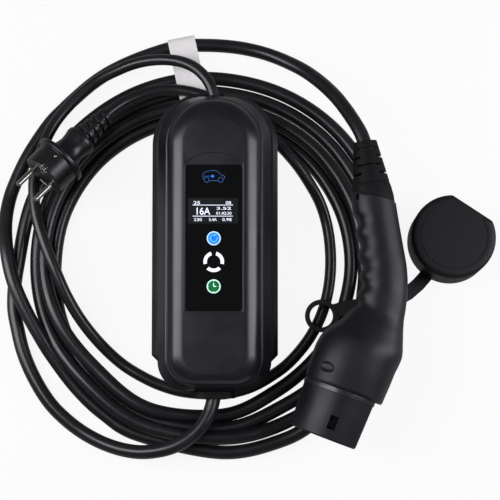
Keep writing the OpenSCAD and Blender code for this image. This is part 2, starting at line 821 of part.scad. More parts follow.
module relays() {
    color("#2d4f7c") in_box() for (x = [-1, 1])
        block(relay, x * (relay.x + piece_gap) / 2, relay_y, board_top);
}

module current_sensor() {
    color("#1d1d1f") in_box() translate([0, sensor_y, board_top]) difference() {
        cylinder(d = sensor_d, h = sensor_h);
        translate([0, 0, -1]) cylinder(d = sensor_bore, h = sensor_h + 2);
    }
}

module supply_module() {
    color("#222326") in_box() block(supply, -(supply.x + piece_gap) / 2, supply_y, board_top);
}

module filter_capacitor() {
    color("#b58b2a") in_box() block(capacitor, (capacitor.x + piece_gap) / 2, supply_y, board_top);
}

module wire_terminals() {
    color("#2f7a4e") in_box() for (y = [-1, 1]) translate([0, y * terminal_y, board_top]) difference() {
        block(terminal, 0, 0, 0);
        for (x = [-1 : 1]) translate([x * terminal.x / 3.4, 0, terminal.z - 3])
            cylinder(d = pin_head_d, h = 4);
    }
}

module conductors() {
    color("#8a5a32") in_box() translate([0, 0, exit_z]) for (x = [-1 : 1]) translate([x * wire_d, 0, 0]) {
        rod(wire_d, wire_end, clamp_in);
        rod(wire_d, -clamp_in, -wire_end);
    }
}

// Block that holds a cord on the floor of the rear shell
module cord_clamp(bore) {
    difference() {
        block([bore + 2 * clamp_side, clamp_l, exit_z - wall + bore / 2 + 2.5], 0, 0, wall);
        translate([0, 0, exit_z]) rod(bore, -clamp_l, clamp_l);
    }
}

module cord_clamps() {
    color("#d9d9d6") in_box() {
        translate([0, clamp_in + clamp_l / 2, 0]) cord_clamp(lead_bore);
        translate([0, -clamp_in - clamp_l / 2, 0]) cord_clamp(cable_bore);
    }
}

module mains_gland() {
    color("#161617") in_box() translate([0, 0, exit_z]) difference() {
        union() {
            rod(lead_bush_d - 2 * slip, end_wall - bush_in, box_l / 2 + lead_out);
            rod(lead_bush_d + 2 * bush_lip, end_wall - slip - bush_in, end_wall - slip);
        }
        rod(lead_bore, 0, box_l);
    }
}

module charge_gland() {
    color("#161617") in_box() translate([0, 0, exit_z]) difference() {
        union() {
            along_y(-box_l / 2 - bush_out, bush_in - end_wall) bush_outline(-slip);
            along_y(-box_l / 2 - bush_out, -box_l / 2 - slip) bush_outline(bush_lip);
            along_y(slip - end_wall, slip + bush_in - end_wall) bush_outline(bush_lip / 2);
        }
        rod(cable_bore, -box_l, 0);
    }
}

// Ribbed sleeve round the Y axis from y0 to y1
module ribbed(y0, y1, d0, d1, ribs) {
    pitch = (y1 - y0) / ribs;
    cut = pitch * 0.3;
    difference() {
        turned_y() polygon([[0, y0], [d0 / 2, y0], [d1 / 2, y1], [0, y1]]);
        for (k = [0 : ribs - 2]) rotate([0, k % 2 * 90, 0]) for (a = [0, 180]) rotate([0, a, 0])
            translate([0, y0 + (k + 1) * pitch - cut / 2, 0]) rotate([-90, 0, 0]) rotate([0, 0, -58])
                rotate_extrude(angle = 116) translate([d1 / 2 - 1.2, 0]) square([d0, cut]);
    }
}

// Solid of the plug before its hollows are cut
module plug_form() {
    rod(face_d, plug_front, 0);
    rod(flange_d, -flange_t / 2, flange_t / 2);
    hull() {
        along_y(flange_t / 2 - 0.1, flange_t / 2 + 2) neck_outline(0);
        along_y(neck_end - 8, neck_end - 3) neck_outline(3);
        along_y(neck_end - 1, neck_end) neck_outline(5);
    }
    ribbed(neck_end - 1, relief_end, relief_d, relief_end_d, relief_ribs);
}

// Section of the plug's neck, drawn in by an inset
module neck_outline(inset) {
    r = neck_t / 2 - inset;
    for (x = [-1, 1]) translate([x * (neck_w - neck_t) / 2, 0]) circle(r, $fn = 32);
    square([neck_w - neck_t, 2 * r], center = true);
}

module plug_body() {
    color("#232425") in_plug() difference() {
        plug_form();
        rod(lead_bore, lead_root - 0.5, relief_end + 1);
        block(bridge + slip * [2, 2, 2], 0, bridge_y + bridge.y / 2, -bridge.z / 2 - slip);
        for (x = [-1, 1]) translate([x * plug_pin_gap / 2, 0, 0])
            rod(pin_root_d + 2 * slip, plug_front - 1, plug_front + pin_root);
        for (z = [0, 180]) rotate([0, z, 0]) {
            translate([-clip_w / 2 - 1, plug_front - 1, clip_z]) cube([clip_w + 2, clip_l + 2, face_d]);
            translate([-clip_w / 2 - slip, plug_front - 1, clip_z - clip_t - slip])
                cube([clip_w + 2 * slip, 6, face_d]);
        }
    }
}

module pin_bridge() {
    color("#c9c6bd") in_plug() difference() {
        block(bridge, 0, bridge_y + bridge.y / 2, -bridge.z / 2);
        for (x = [-1, 1]) translate([x * plug_pin_gap / 2, 0, 0])
            rod(pin_root_d + 2 * slip, plug_front - 1, plug_front + pin_root + far);
    }
}

module plug_pins() {
    tip = plug_pin_d / 4;
    front = plug_front - plug_pin_l;
    color("#d6d8db") in_plug() for (x = [-1, 1]) translate([x * plug_pin_gap / 2, 0, 0]) turned_y()
        polygon([
            [0, front], [plug_pin_d / 2 - tip, front], [plug_pin_d / 2, front + tip],
            [plug_pin_d / 2, plug_front], [pin_root_d / 2, plug_front],
            [pin_root_d / 2, plug_front + pin_root - slip], [0, plug_front + pin_root - slip]
        ]);
}

module earth_contacts() {
    color("#d2cdbc") in_plug() for (z = [0, 180]) rotate([0, z, 0]) {
        translate([-clip_w / 2, plug_front + 0.4, clip_z]) cube([clip_w, clip_l, clip_t]);
        translate([-clip_w / 2, plug_front + 0.4, clip_z - clip_t]) cube([clip_w, 4, clip_t]);
        translate([0, plug_front + 0.4 + clip_l - 4, clip_z + clip_t]) cylinder(r = 1.4, h = 0.6);
    }
}

// Circle with a flat side towards +X
module d_shape(r, flat) {
    difference() {
        circle(r, $fn = 64);
        translate([flat, -r]) square([r, 2 * r]);
    }
}

// Slice of the nose at y, drawn in by an inset
module nose_slice(y, inset) {
    along_y(y, y + thin) d_shape(nose_r - inset, nose_flat - inset);
}

module nose_shroud() {
    color("#2a2b2d") in_connector() difference() {
        union() {
            hull() {
                nose_slice(0, nose_taper + lip_r);
                nose_slice(lip_r, nose_taper);
                nose_slice(nose_l - thin, 0);
            }
            along_y(nose_l - 1, seam_y + tail_l) d_shape(tail_r, nose_flat - 3.5);
        }
        along_y(-1, seam_y + tail_l + 1) d_shape(bore_r, bore_flat);
        for (z = [0, 180]) rotate([0, z, 0])
            translate([-slot_w / 2, slot_at - slot_l / 2, bore_r - 4]) cube([slot_w, slot_l, nose_r]);
    }
}

module nose_band() {
    color("#6b6d70") in_connector() along_y(nose_l, seam_y) difference() {
        d_shape(nose_r + 0.6, nose_flat + 0.6);
        d_shape(tail_r + slip, nose_flat - 3.5 + slip);
    }
}

module contact_carrier() {
    color("#1a1a1c") in_connector() difference() {
        union() {
            along_y(recess_l, carrier_end) d_shape(carrier_r, carrier_flat);
            along_y(carrier_end - 6, carrier_end) d_shape(bore_r - slip, bore_flat - slip);
        }
        for (p = power_places) translate([p.x, 0, p.y]) rod(power_d + 2 * contact_wall + 2 * slip, 0, far);
        for (p = signal_places) translate([p.x, 0, p.y]) rod(signal_d + 2 * contact_wall + 2 * slip, 0, far);
        for (p = blank_places) translate([p.x, 0, p.y]) rod(power_d, 0, recess_l + contact_bore);
    }
}

// Socket contact with a bore from its front
module socket_contact(bore) {
    front = recess_l + contact_back;
    difference() {
        rod(bore + 2 * contact_wall, front, front + contact_bore + contact_tail);
        rod(bore, front - 1, front + contact_bore);
    }
}

module power_contacts() {
    color("#c9cbcf") in_connector() for (p = power_places) translate([p.x, 0, p.y]) socket_contact(power_d);
}

module signal_contacts() {
    color("#c9cbcf") in_connector() for (p = signal_places) translate([p.x, 0, p.y]) socket_contact(signal_d);
}

// Sections of the handle, drawn in by an inset
function handle_sections(inset) = [
    for (r = handle_rows) oval_points(r[1] - inset, r[1] - inset - finger(r[0]), r[2] - inset, handle_sides)
];

// Outer form of the handle
module handle_form() {
    sweep([for (r = handle_rows) handle_point(r[0])], handle_sections(0));
}

// Hollow of the handle, with the hole for the boot at its end
module handle_hollow() {
    last = len(handle_rows) - 1;
    inner_end = grip_end - handle_wall;
    path = [for (i = [0 : last]) handle_point(i == 0 ? -0.1 : min(handle_rows[i][0], inner_end))];
    hole = round_points(boot_d / 2 - 6, handle_sides);
    sweep(
        concat(path, [handle_point(inner_end + 0.4), handle_point(grip_end + 1)]),
        concat(handle_sections(handle_wall), [hole, hole])
    );
}

// Frame at a distance behind the seam, its +Y along the handle
module on_handle(s) {
    a = s < handle_front ? 0 : min((s - handle_front) / bend_r * 180 / PI, bend_a);
    translate(handle_point(s)) rotate([0, 0, a]) children();
}

// Round columns at the handle screws, between two heights
module handle_columns(d, z0, z1) {
    for (p = handle_screw_places) on_handle(p[0]) translate([p[1], 0, z0]) cylinder(d = d, h = z1 - z0);
}

// Shell of the handle with its screw bosses and the thumb mark
module handle_shell() {
    difference() {
        handle_form();
        difference() {
            handle_hollow();
            handle_columns(handle_screw_d + 3.4, -far, far);
        }
        handle_columns(handle_screw_d + 2 * slip, -handle_screw_l, far);
        handle_columns(handle_screw_d + 2, handle_head_z, far);
        translate(mark_at) rotate([0, 69, -51]) rotate_extrude() translate([mark_l, 0]) circle(mark_w);
    }
}

module handle_upper() {
    color("#303133") in_connector() difference() {
        handle_shell();
        translate([-far / 2, 0, -far]) cube([far, far, far]);
    }
}

module handle_lower() {
    color("#303133") in_connector() difference() {
        handle_shell();
        translate([-far / 2, 0, 0]) cube([far, far, far]);
    }
}

module handle_screws() {
    color("#8d8f92") in_connector() for (p = handle_screw_places) on_handle(p[0])
        translate([p[1], 0, handle_head_z]) mirror([0, 0, 1])
            screw_up(-2, handle_screw_d, handle_screw_d + 1.6, 2, handle_head_z + handle_screw_l + 1);
}

module cable_boot() {
    color("#1b1b1c") in_connector() on_handle(grip_end) difference() {
        union() {
            ribbed(0, boot_l, boot_d, boot_end_d, boot_ribs);
            rod(boot_d - 12 - 2 * slip, -boot_root, 1);
            rod(boot_d - 10, -boot_root, -handle_wall - slip);
        }
        rod(cable_bore, -far, far);
    }
}

module cable_grip() {
    color("#b9bcc0") in_connector() on_handle(grip_end - boot_root) difference() {
        rod(boot_d - 10, -cord_grip_l, 0);
        rod(cable_bore, -far, far);
    }
}

// Outline of the cap, drawn in by an inset
module cap_outline(inset) {
    step = inset + cap_round;
    offset(r = cap_round, $fn = 64) d_shape(cap_r - step, nose_flat + cap_gap + cap_wall - step);
}

module protective_cap() {
    color("#262627") on_table() difference() {
        union() {
            translate(cap_at) rotate([0, 0, cap_turn]) hull() {
                linear_extrude(cap_h - cap_round) cap_outline(0);
                for (a = [30, 60, 90]) translate([0, 0, cap_h - cap_round * (1 - sin(a)) - thin])
                    linear_extrude(thin) cap_outline(cap_round * (1 - cos(a)));
            }
            strap();
        }
        translate([loop_at.x, loop_at.y, 0]) cylinder(r = loop_r, h = far);
        translate(cap_at) rotate([0, 0, cap_turn]) {
            translate([0, 0, -1]) linear_extrude(cap_h - cap_top + 1) cap_outline(cap_wall);
            translate([0, 0, cap_h - 0.5]) rotate_extrude() translate([cap_ring_r, 0]) square([1.2, 1]);
        }
    }
}

module strap_ring() {
    color("#262627") on_table() translate([loop_at.x, loop_at.y, loop_z]) rotate_extrude()
        translate([loop_r - loop_w, 0]) square([loop_w, strap_t]);
}

// Flat strap from the cap to its ring
module strap() {
    w = strap_w / 2;
    t = strap_t / 2;
    sweep(strap_route, [for (p = strap_route) [[w, -t], [w, t], [-w, t], [-w, -t]]]);
}

module mains_lead() {
    color("#1f2022") on_table() cord(lead_route, lead_d);
}

module charge_cable_start() {
    color("#1f2022") on_table() cord(start_route, cable_d);
}

module charge_cable_coil() {
    color("#1f2022") on_table() difference() {
        translate(coil_at) rotate_extrude($fn = 96) translate([coil_r - coil_w, 0]) square([coil_w, coil_h]);
        tie_block(1);
    }
}

module charge_cable_end() {
    color("#1f2022") on_table() cord(end_route, cable_d);
}

// Tape round the coil and the last run of the cable: outline in radius and height, drawn in by an inset
module tie_outline(inset) {
    a = coil_r - coil_w - tie_t + inset;
    b = coil_r + tie_t;
    c = norm([tied_point.x - coil_at.x, tied_point.y - coil_at.y]) + cable_d / 2 + 2 - inset;
    d = cable_d + 2 * tie_t - inset;
    polygon([[a, inset], [c, inset], [c, d], [b, coil_h - inset], [a, coil_h - inset]]);
}

// Part of the tape's path that is cut from the coil
module tie_block(grow) {
    translate(coil_at) rotate([0, 0, 90 + tie_turn]) translate([0, (tie_w + grow) / 2, 0]) rotate([90, 0, 0])
        linear_extrude(tie_w + grow) difference() {
            translate([coil_r - coil_w - 2, -1]) square([coil_w + 4, coil_h + 2]);
            translate([coil_r - coil_w, tie_t]) square([coil_w, coil_h - 2 * tie_t]);
        }
}

module coil_tie() {
    color("#f2f2f0") on_table() translate(coil_at) rotate([0, 0, 90 + tie_turn]) translate([0, tie_w / 2, 0])
        rotate([90, 0, 0]) linear_extrude(tie_w) difference() {
            tie_outline(0);
            tie_outline(tie_t);
        }
}

rear_shell();
front_shell();
housing_seal();
housing_screws();
window_panel();
display_module();
icon_guides();
display_board();
main_board();
board_screws();
relays();
current_sensor();
supply_module();
filter_capacitor();
wire_terminals();
conductors();
cord_clamps();
mains_gland();
charge_gland();
plug_body();
pin_bridge();
plug_pins();
earth_contacts();
handle_upper();
handle_lower();
handle_screws();
nose_shroud();
nose_band();
contact_carrier();
power_contacts();
signal_contacts();
cable_boot();
cable_grip();
protective_cap();
strap_ring();
mains_lead();
charge_cable_start();
charge_cable_coil();
charge_cable_end();
coil_tie();
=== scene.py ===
"""Portable car charger on a pale table: control box, mains plug, coiled cable, connector and cap."""

import math

import bmesh
import bpy
from mathutils import Matrix, Vector


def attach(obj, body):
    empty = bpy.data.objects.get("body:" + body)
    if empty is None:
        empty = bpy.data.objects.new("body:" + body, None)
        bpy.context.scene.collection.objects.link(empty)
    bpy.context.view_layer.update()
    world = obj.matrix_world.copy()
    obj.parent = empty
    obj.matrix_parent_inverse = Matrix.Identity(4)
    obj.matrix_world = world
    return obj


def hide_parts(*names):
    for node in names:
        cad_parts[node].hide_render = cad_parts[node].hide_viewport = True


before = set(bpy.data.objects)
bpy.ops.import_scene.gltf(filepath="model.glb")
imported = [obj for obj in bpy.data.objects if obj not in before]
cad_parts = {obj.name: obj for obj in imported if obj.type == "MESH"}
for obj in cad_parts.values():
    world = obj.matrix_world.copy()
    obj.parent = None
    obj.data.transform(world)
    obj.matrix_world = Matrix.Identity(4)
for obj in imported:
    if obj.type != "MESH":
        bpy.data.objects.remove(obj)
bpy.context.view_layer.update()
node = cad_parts

MM = 0.001
# Origin of the frame and middle of the coil, in the layout that the routes are drawn in, in millimetres
ORIGIN = Vector((103.5, -5.2369, 0))
COIL_AT = Vector((2.5, 3, 0))
LEAD_D = 9.5
CABLE_D = 11.5

# Frames of the assemblies, as the solids are placed


def placed(at, turn, tilt):
    """Frame of an assembly from its place in the layout, its turn and its tilt in degrees."""
    return (
        Matrix.Translation((Vector(at) - ORIGIN) * MM)
        @ Matrix.Rotation(math.radians(turn), 4, "Z")
        @ Matrix.Rotation(math.radians(tilt), 4, "X")
    )


BOX = placed((13.5, 17, 20.3), 0, 5)
PLUG = placed((-113.5, 85, 42.3), -42, -11)
CONNECTOR = placed((102, -142.5, 48), -21, 3.5)
COIL = Matrix.Translation((COIL_AT - ORIGIN) * MM)

# Shader tools

# Span that most values of a noise lie in
NOISE_SPAN = (0.3, 0.7)


def linear(colour):
    """Linear values of an sRGB hex colour."""
    parts = [int(colour[i : i + 2], 16) / 255 for i in (1, 3, 5)]
    return [c / 12.92 if c <= 0.04045 else ((c + 0.055) / 1.055) ** 2.4 for c in parts] + [1.0]


def add(material, kind, sockets=None, **settings):
    """Adds one shader node: settings go on the node, sockets take a value or a link."""
    made = material.node_tree.nodes.new("ShaderNode" + kind)
    for name, value in settings.items():
        setattr(made, name, value)
    for name, value in (sockets or {}).items():
        if isinstance(value, bpy.types.NodeSocket):
            material.node_tree.links.new(value, made.inputs[name])
        else:
            made.inputs[name].default_value = value
    return made


def blank(name):
    """Material with an empty node tree."""
    material = bpy.data.materials.new(name)
    material.use_nodes = True
    material.node_tree.nodes.clear()
    return material


def two_tone(material, factor, dark, light):
    """Ramp between two hex colours, as a socket."""
    ramp = add(material, "ValToRGB", {"Fac": factor})
    for stop, place, colour in zip(ramp.color_ramp.elements, (0.35, 0.65), (dark, light)):
        stop.position = place
        stop.color = linear(colour)
    return ramp.outputs["Color"]


def noise(material, size_mm, **sockets):
    """Noise of a size in millimetres on the object's own coordinates, as a socket."""
    place = add(material, "TexCoord").outputs["Object"]
    return add(
        material, "TexNoise", {"Vector": place, "Scale": 1 / (size_mm * MM), **sockets}
    ).outputs["Fac"]


def mapped(material, value, span, low, high):
    """A span of a value, stretched between two others, as a socket."""
    sockets = {"Value": value, "From Min": span[0], "From Max": span[1], "To Min": low, "To Max": high}
    return add(material, "MapRange", sockets).outputs["Result"]


def maths(material, kind, first, second):
    """Result of a math node, as a socket."""
    return add(material, "Math", {0: first, 1: second}, operation=kind).outputs[0]


def principled(material, sockets):
    """Ends a material with a principled shader."""
    shader = add(material, "BsdfPrincipled", sockets)
    add(material, "OutputMaterial", {"Surface": shader.outputs["BSDF"]})
    return material


def moulded(name, dark, light, rough, spread, grain_mm, depth_mm, cloud_mm=25, **extra):
    """Moulded plastic or rubber: cloudy tone, uneven gloss and the fine grain of an eroded mould."""
    material = blank(name)
    cloud = noise(material, cloud_mm, Detail=4.0, Roughness=0.6)
    grain = noise(material, grain_mm, Detail=2.0, Roughness=0.5)
    bump = add(material, "Bump", {"Height": grain, "Strength": 0.5, "Distance": depth_mm * MM})
    sockets = {
        "Base Color": two_tone(material, cloud, dark, light),
        "Roughness": mapped(material, cloud, NOISE_SPAN, rough - spread, rough + spread),
        "Normal": bump.outputs["Normal"],
    }
    return principled(material, {**sockets, **extra})


def plated(name, dark, light, rough, scratch_mm):
    """Plated metal: bright, with fine drawn scratches that break up its gloss."""
    material = blank(name)
    scratch = noise(material, scratch_mm, Detail=6.0, Roughness=0.7)
    sockets = {
        "Base Color": two_tone(material, scratch, dark, light),
        "Metallic": 1.0,
        "Roughness": mapped(material, scratch, NOISE_SPAN, rough * 0.7, rough * 1.3),
    }
    return principled(material, sockets)


def painted_glow_print(name, dark, light, glow):
    """Print on the panel with a painted glow: emission in its own tone, a little uneven at random."""
    material = blank(name)
    tone = two_tone(material, noise(material, 4, Detail=2.0), dark, light)
    sockets = {
        "Base Color": tone,
        "Roughness": 0.25,
        "IOR": 1.49,
        "Emission Color": tone,
        "Emission Strength": glow,
    }
    return principled(material, sockets)


# Materials

# Polycarbonate and ABS blend from a spark-eroded tool: near-black satin with long soft highlights
abs_satin = moulded("pc_abs_satin_black", "#15141a", "#1a1920", 0.31, 0.03, 0.7, 0.02, IOR=1.57)
# The same ABS on the rear half, with a coarser tool finish: a little duller
abs_texture = moulded("abs_textured_black", "#121115", "#17161b", 0.38, 0.04, 0.9, 0.04, IOR=1.53)
# Hard-coated acrylic: almost black, with sharp reflections
acrylic_gloss = moulded("acrylic_gloss_black", "#050506", "#070708", 0.07, 0.02, 6.0, 0.01, IOR=1.49)
# PVC sheath drawn through a die: black with a soft sheen
pvc_sheath = moulded("pvc_sheath_black", "#18181a", "#1e1e21", 0.29, 0.05, 1.6, 0.05, IOR=1.52)
# The fine grain of a dull mould breaks up part of the shine, and a rough mould more of it
DULL = {"Specular IOR Level": 0.33}
DULLEST = {"Specular IOR Level": 0.2}
# Soft thermoplastic rubber: dull black that takes hardly any highlight
rubber_soft = moulded("tpe_rubber_black", "#0d0d0f", "#131315", 0.55, 0.05, 1.0, 0.05, IOR=1.50, **DULL)
# Harder rubber of the boot and the bushes, from a rough mould: the dullest black of all
rubber_firm = moulded(
    "tpe_rubber_rough_black", "#0b0b0c", "#101012", 0.6, 0.05, 1.0, 0.05, IOR=1.50, **DULLEST
)
# PVC of the plug: black and a little glossier than the cord
pvc_plug = moulded("pvc_plug_black", "#151517", "#1a1a1d", 0.30, 0.04, 0.9, 0.03, IOR=1.52)
# Glass-filled nylon of the handle: satin black with a fine grain
nylon_satin = moulded("nylon_satin_black", "#131217", "#18171d", 0.44, 0.05, 0.8, 0.04, IOR=1.53, **DULL)
# Polished plastic ring: dark grey with a clear shine
band_gloss = moulded("polycarbonate_gloss_grey", "#232226", "#29282d", 0.28, 0.04, 3.0, 0.01, IOR=1.58)
# Nickel-plated brass: bright and slightly warm, with fine marks from being pushed in and out
nickel = plated("nickel_plated_brass", "#a19d95", "#bebab1", 0.22, 1.2)
# Zinc-plated steel of the screws
zinc = plated("zinc_plated_steel", "#8d8f92", "#a9abae", 0.35, 0.8)
# Silver-plated copper of the contacts
silver = plated("silver_plated_copper", "#c3c3c0", "#d9d9d6", 0.2, 1.0)
# Drawn aluminium of the cable grip
aluminium = plated("drawn_aluminium", "#a9abad", "#bfc1c3", 0.35, 0.7)
# Green solder mask over glass fibre: smooth lacquer with a faint weave
solder_mask = moulded("solder_mask_green", "#1c4a2c", "#23573a", 0.3, 0.05, 1.5, 0.02, IOR=1.5)
# Polyester case of the relays
relay_blue = moulded("polyester_case_blue", "#25477a", "#2c5088", 0.35, 0.05, 0.9, 0.03, IOR=1.57)
# Epoxy case of the sensor and the supply
epoxy_black = moulded("epoxy_case_black", "#161617", "#1c1c1e", 0.4, 0.05, 0.9, 0.03, IOR=1.55)
# Taped film capacitor
film_yellow = moulded("film_capacitor_yellow", "#a67c1f", "#b98d2c", 0.4, 0.05, 1.2, 0.03, IOR=1.55)
# Polyamide of the terminal blocks
polyamide_green = moulded("polyamide_green", "#28704a", "#2f7d54", 0.4, 0.05, 0.9, 0.03, IOR=1.53)
# PVC insulation of the conductors
pvc_brown = moulded("pvc_insulation_brown", "#6b4020", "#784a27", 0.45, 0.05, 0.9, 0.03, IOR=1.52)
# Natural polyamide of the clamps and the pin bridge: milky white
polyamide_white = moulded("polyamide_natural", "#cfcdc4", "#dad8d0", 0.4, 0.05, 0.9, 0.03, IOR=1.53)
# Coated paper tape: matte white with a faint fibre
paper_tape = moulded("paper_tape_white", "#f4f3ee", "#faf9f5", 0.75, 0.05, 0.6, 0.05, 4, IOR=1.45)
# Prints with a painted glow: emission that brightens them as if lit from behind
print_white = painted_glow_print("print_painted_glow_white", "#dcdfee", "#e8eaf6", 0.62)
print_ice = painted_glow_print("print_painted_glow_ice_blue", "#a9cdf5", "#bfdcfb", 0.62)
print_blue = painted_glow_print("print_painted_glow_blue", "#0f62d8", "#1c78ec", 0.75)
print_pale_blue = painted_glow_print("print_painted_glow_pale_blue", "#3f9bfb", "#58adff", 0.7)
print_navy = painted_glow_print("print_painted_glow_navy", "#2c4c80", "#385c96", 0.5)
print_green = painted_glow_print("print_painted_glow_green", "#06602f", "#0a6c38", 0.42)
print_mint = painted_glow_print("print_painted_glow_mint", "#b4e2cf", "#c6ecdb", 0.6)
# Display glass with a faint painted glow from emission
display_glass = painted_glow_print("display_glass_dark", "#0d1112", "#101517", 0.35)

# Mesh tools


def piece(name, mesh, material):
    """Object on the one body of the part, with its material."""
    made = bpy.data.objects.new(name, mesh)
    bpy.context.scene.collection.objects.link(made)
    made.data.materials.append(material)
    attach(made, "root")
    return made


def mesh_from(name, build, matrix):
    """Mesh made by a bmesh function, moved into place and smooth shaded."""
    mesh = bpy.data.meshes.new(name)
    work = bmesh.new()
    build(work)
    bmesh.ops.recalc_face_normals(work, faces=work.faces)
    work.to_mesh(mesh)
    work.free()
    mesh.transform(matrix)
    mesh.shade_smooth()
    return mesh


def moulding(name, build, matrix, material, edge):
    """Piece made by a bmesh function, with soft edges."""
    made = piece(name, mesh_from(name, build, matrix), material)
    eased(made, edge)
    return made


def eased(solid, edge):
    """Soft moulded edges of a width on a piece, none where it is zero, and even shading."""
    if edge:
        bevel = solid.modifiers.new("edges", "BEVEL")
        bevel.width = edge * MM
        bevel.segments = 3
        bevel.limit_method = "ANGLE"
        bevel.angle_limit = math.radians(32)
        bevel.use_clamp_overlap = True
    normals = solid.modifiers.new("normals", "WEIGHTED_NORMAL")
    normals.keep_sharp = False


def loop(work, outline, height):
    """Closed row of vertices at one height, in millimetres."""
    return [work.verts.new((x * MM, y * MM, height * MM)) for x, y in outline]


def bridge(work, *rows):
    """Faces from row to row, all of the same count."""
    for first, second in zip(rows, rows[1:]):
        for i in range(len(first)):
            j = (i + 1) % len(first)
            work.faces.new((first[i], first[j], second[j], second[i]))


def closed(work, rows):
    """Skin over rows of the same count, closed at both ends."""
    bridge(work, *rows)
    work.faces.new(rows[0])
    work.faces.new(rows[-1])


def plate(work, outline, low, high):
    """Flat plate from an outline between two heights, in millimetres."""
    foot, top = loop(work, outline, low), loop(work, outline, high)
    work.faces.new(top)
    work.faces.new(foot[::-1])
    bridge(work, foot, top)


def bar(work, left, foot, right, top, low, high):
    """Flat plate with four square corners."""
    plate(work, [(left, foot), (right, foot), (right, top), (left, top)], low, high)


def arc(cx, cy, r, start, end, steps):
    """Points on an arc, angles in degrees."""
    angles = [math.radians(start + (end - start) * k / steps) for k in range(steps + 1)]
    return [(cx + r * math.cos(a), cy + r * math.sin(a)) for a in angles]


def ring_part(work, cx, cy, inner, outer, start, end, low, high):
    """Part of a flat ring with square ends."""
    outside = arc(cx, cy, outer, start, end, 24)
    inside = arc(cx, cy, inner, end, start, 24)
    plate(work, outside + inside, low, high)


def smooth_route(points, step_mm):
    """Points of a smooth curve through the given ones, about a step apart."""
    rows = [points[0] * 2 - points[1], *points, points[-1] * 2 - points[-2]]
    made = []
    for a, b, c, d in zip(rows, rows[1:], rows[2:], rows[3:]):
        steps = max(2, round((c - b).length / step_mm))
        for k in range(steps):
            t = k / steps
            made.append(
                b
                + (c - a) * (t / 2)
                + (a * 2 - b * 5 + c * 4 - d) * (t * t / 2)
                + (b * 3 - a - c * 3 + d) * (t * t * t / 2)
            )
    made.append(points[-1])
    return made


def tube(name, points, radius, roundness):
    """Round wire or cord through points in metres, with a radius in millimetres."""
    line = bpy.data.curves.new(name, "CURVE")
    line.dimensions = "3D"
    line.bevel_depth = radius * MM
    line.bevel_resolution = roundness
    line.use_fill_caps = True
    spline = line.splines.new("POLY")
    spline.points.add(len(points) - 1)
    for point, place in zip(spline.points, points):
        point.co = (*place, 1)
    spline.use_smooth = True
    return line


def cord_piece(name, route, diameter):
    """Round cord along a route in layout millimetres."""
    points = [(p - ORIGIN) * MM for p in smooth_route(route, 4)]
    return piece(name, tube(name, points, diameter / 2, 6), pvc_sheath)


# Cords: routes in layout millimetres, from the box to the plug and from the box to the connector


def in_layout(matrix, x, y, z):
    """Point of an assembly's frame, in layout millimetres."""
    return (matrix @ (Vector((x, y, z)) * MM)) / MM + ORIGIN


EXIT_Z = 15
# Points of each cord inside the box; the last one is where it comes out of its bush
LEAD_START = ((0, 103.4), (0, 113), (-1.1, 122.5))
CABLE_START = ((0, -103.4), (0, -115.4), (-0.9, -126))
LEAD_POINTS = (
    (8.7, 148.2, 46.2), (2.5, 157, 45), (-5.8, 164.3, 42.2), (-16.5, 169.7, 37.9), (-29.5, 172.8, 32.4),
    (-43.5, 173.5, 27), (-56, 171.8, 23.2), (-68, 168, 20.2), (-85, 160, 18), (-100, 148.2, 17.4),
    (-112.5, 135, 17.6), (-121.5, 122.8, 18.6), (-128.6, 108.6, 20.4), (-133.6, 94, 22.2),
    (-136.6, 82, 23.2), (-138, 70, 23.6), (-137, 51, 24), (-133, 33, 24.6), (-126, 13, 24.6),
    (-118, -6, 23.4), (-110, -24, 20), (-99, -43, 14), (-84, -62, 8), (-66, -79, 5), (-49, -90, 5),
    (-32, -98, 5), (-15, -103, 5), (3, -105, 5), (22, -105, 5), (42, -100, 5), (59, -91, 5), (75, -79, 5),
    (91, -60, 5), (102, -39, 5), (108, -17, 5), (110, 7, 5), (108, 32, 5), (102, 53, 9), (92.5, 70, 15.2),
    (81, 86, 20.6), (66, 102.5, 22.8), (48, 118, 23.2), (22, 136, 23.2), (-6, 147, 23.2), (-32, 149, 23.4),
    (-56, 141, 26.5),
)
# From the box to the coil
START_POINTS = (
    (9.6, -121, 24.8), (4, -131, 25.6), (-4.5, -140, 25.7), (-15.5, -147, 25.4), (-29, -151.5, 23.6),
    (-46, -153.2, 19.5), (-63, -150.8, 13.6), (-80, -145, 8.4), (-96, -136.5, 6), (-110, -126, 6),
    (-123, -113, 6), (-135, -95, 6), (-145, -74, 6), (-151, -53, 6), (-155, -30, 6),
)
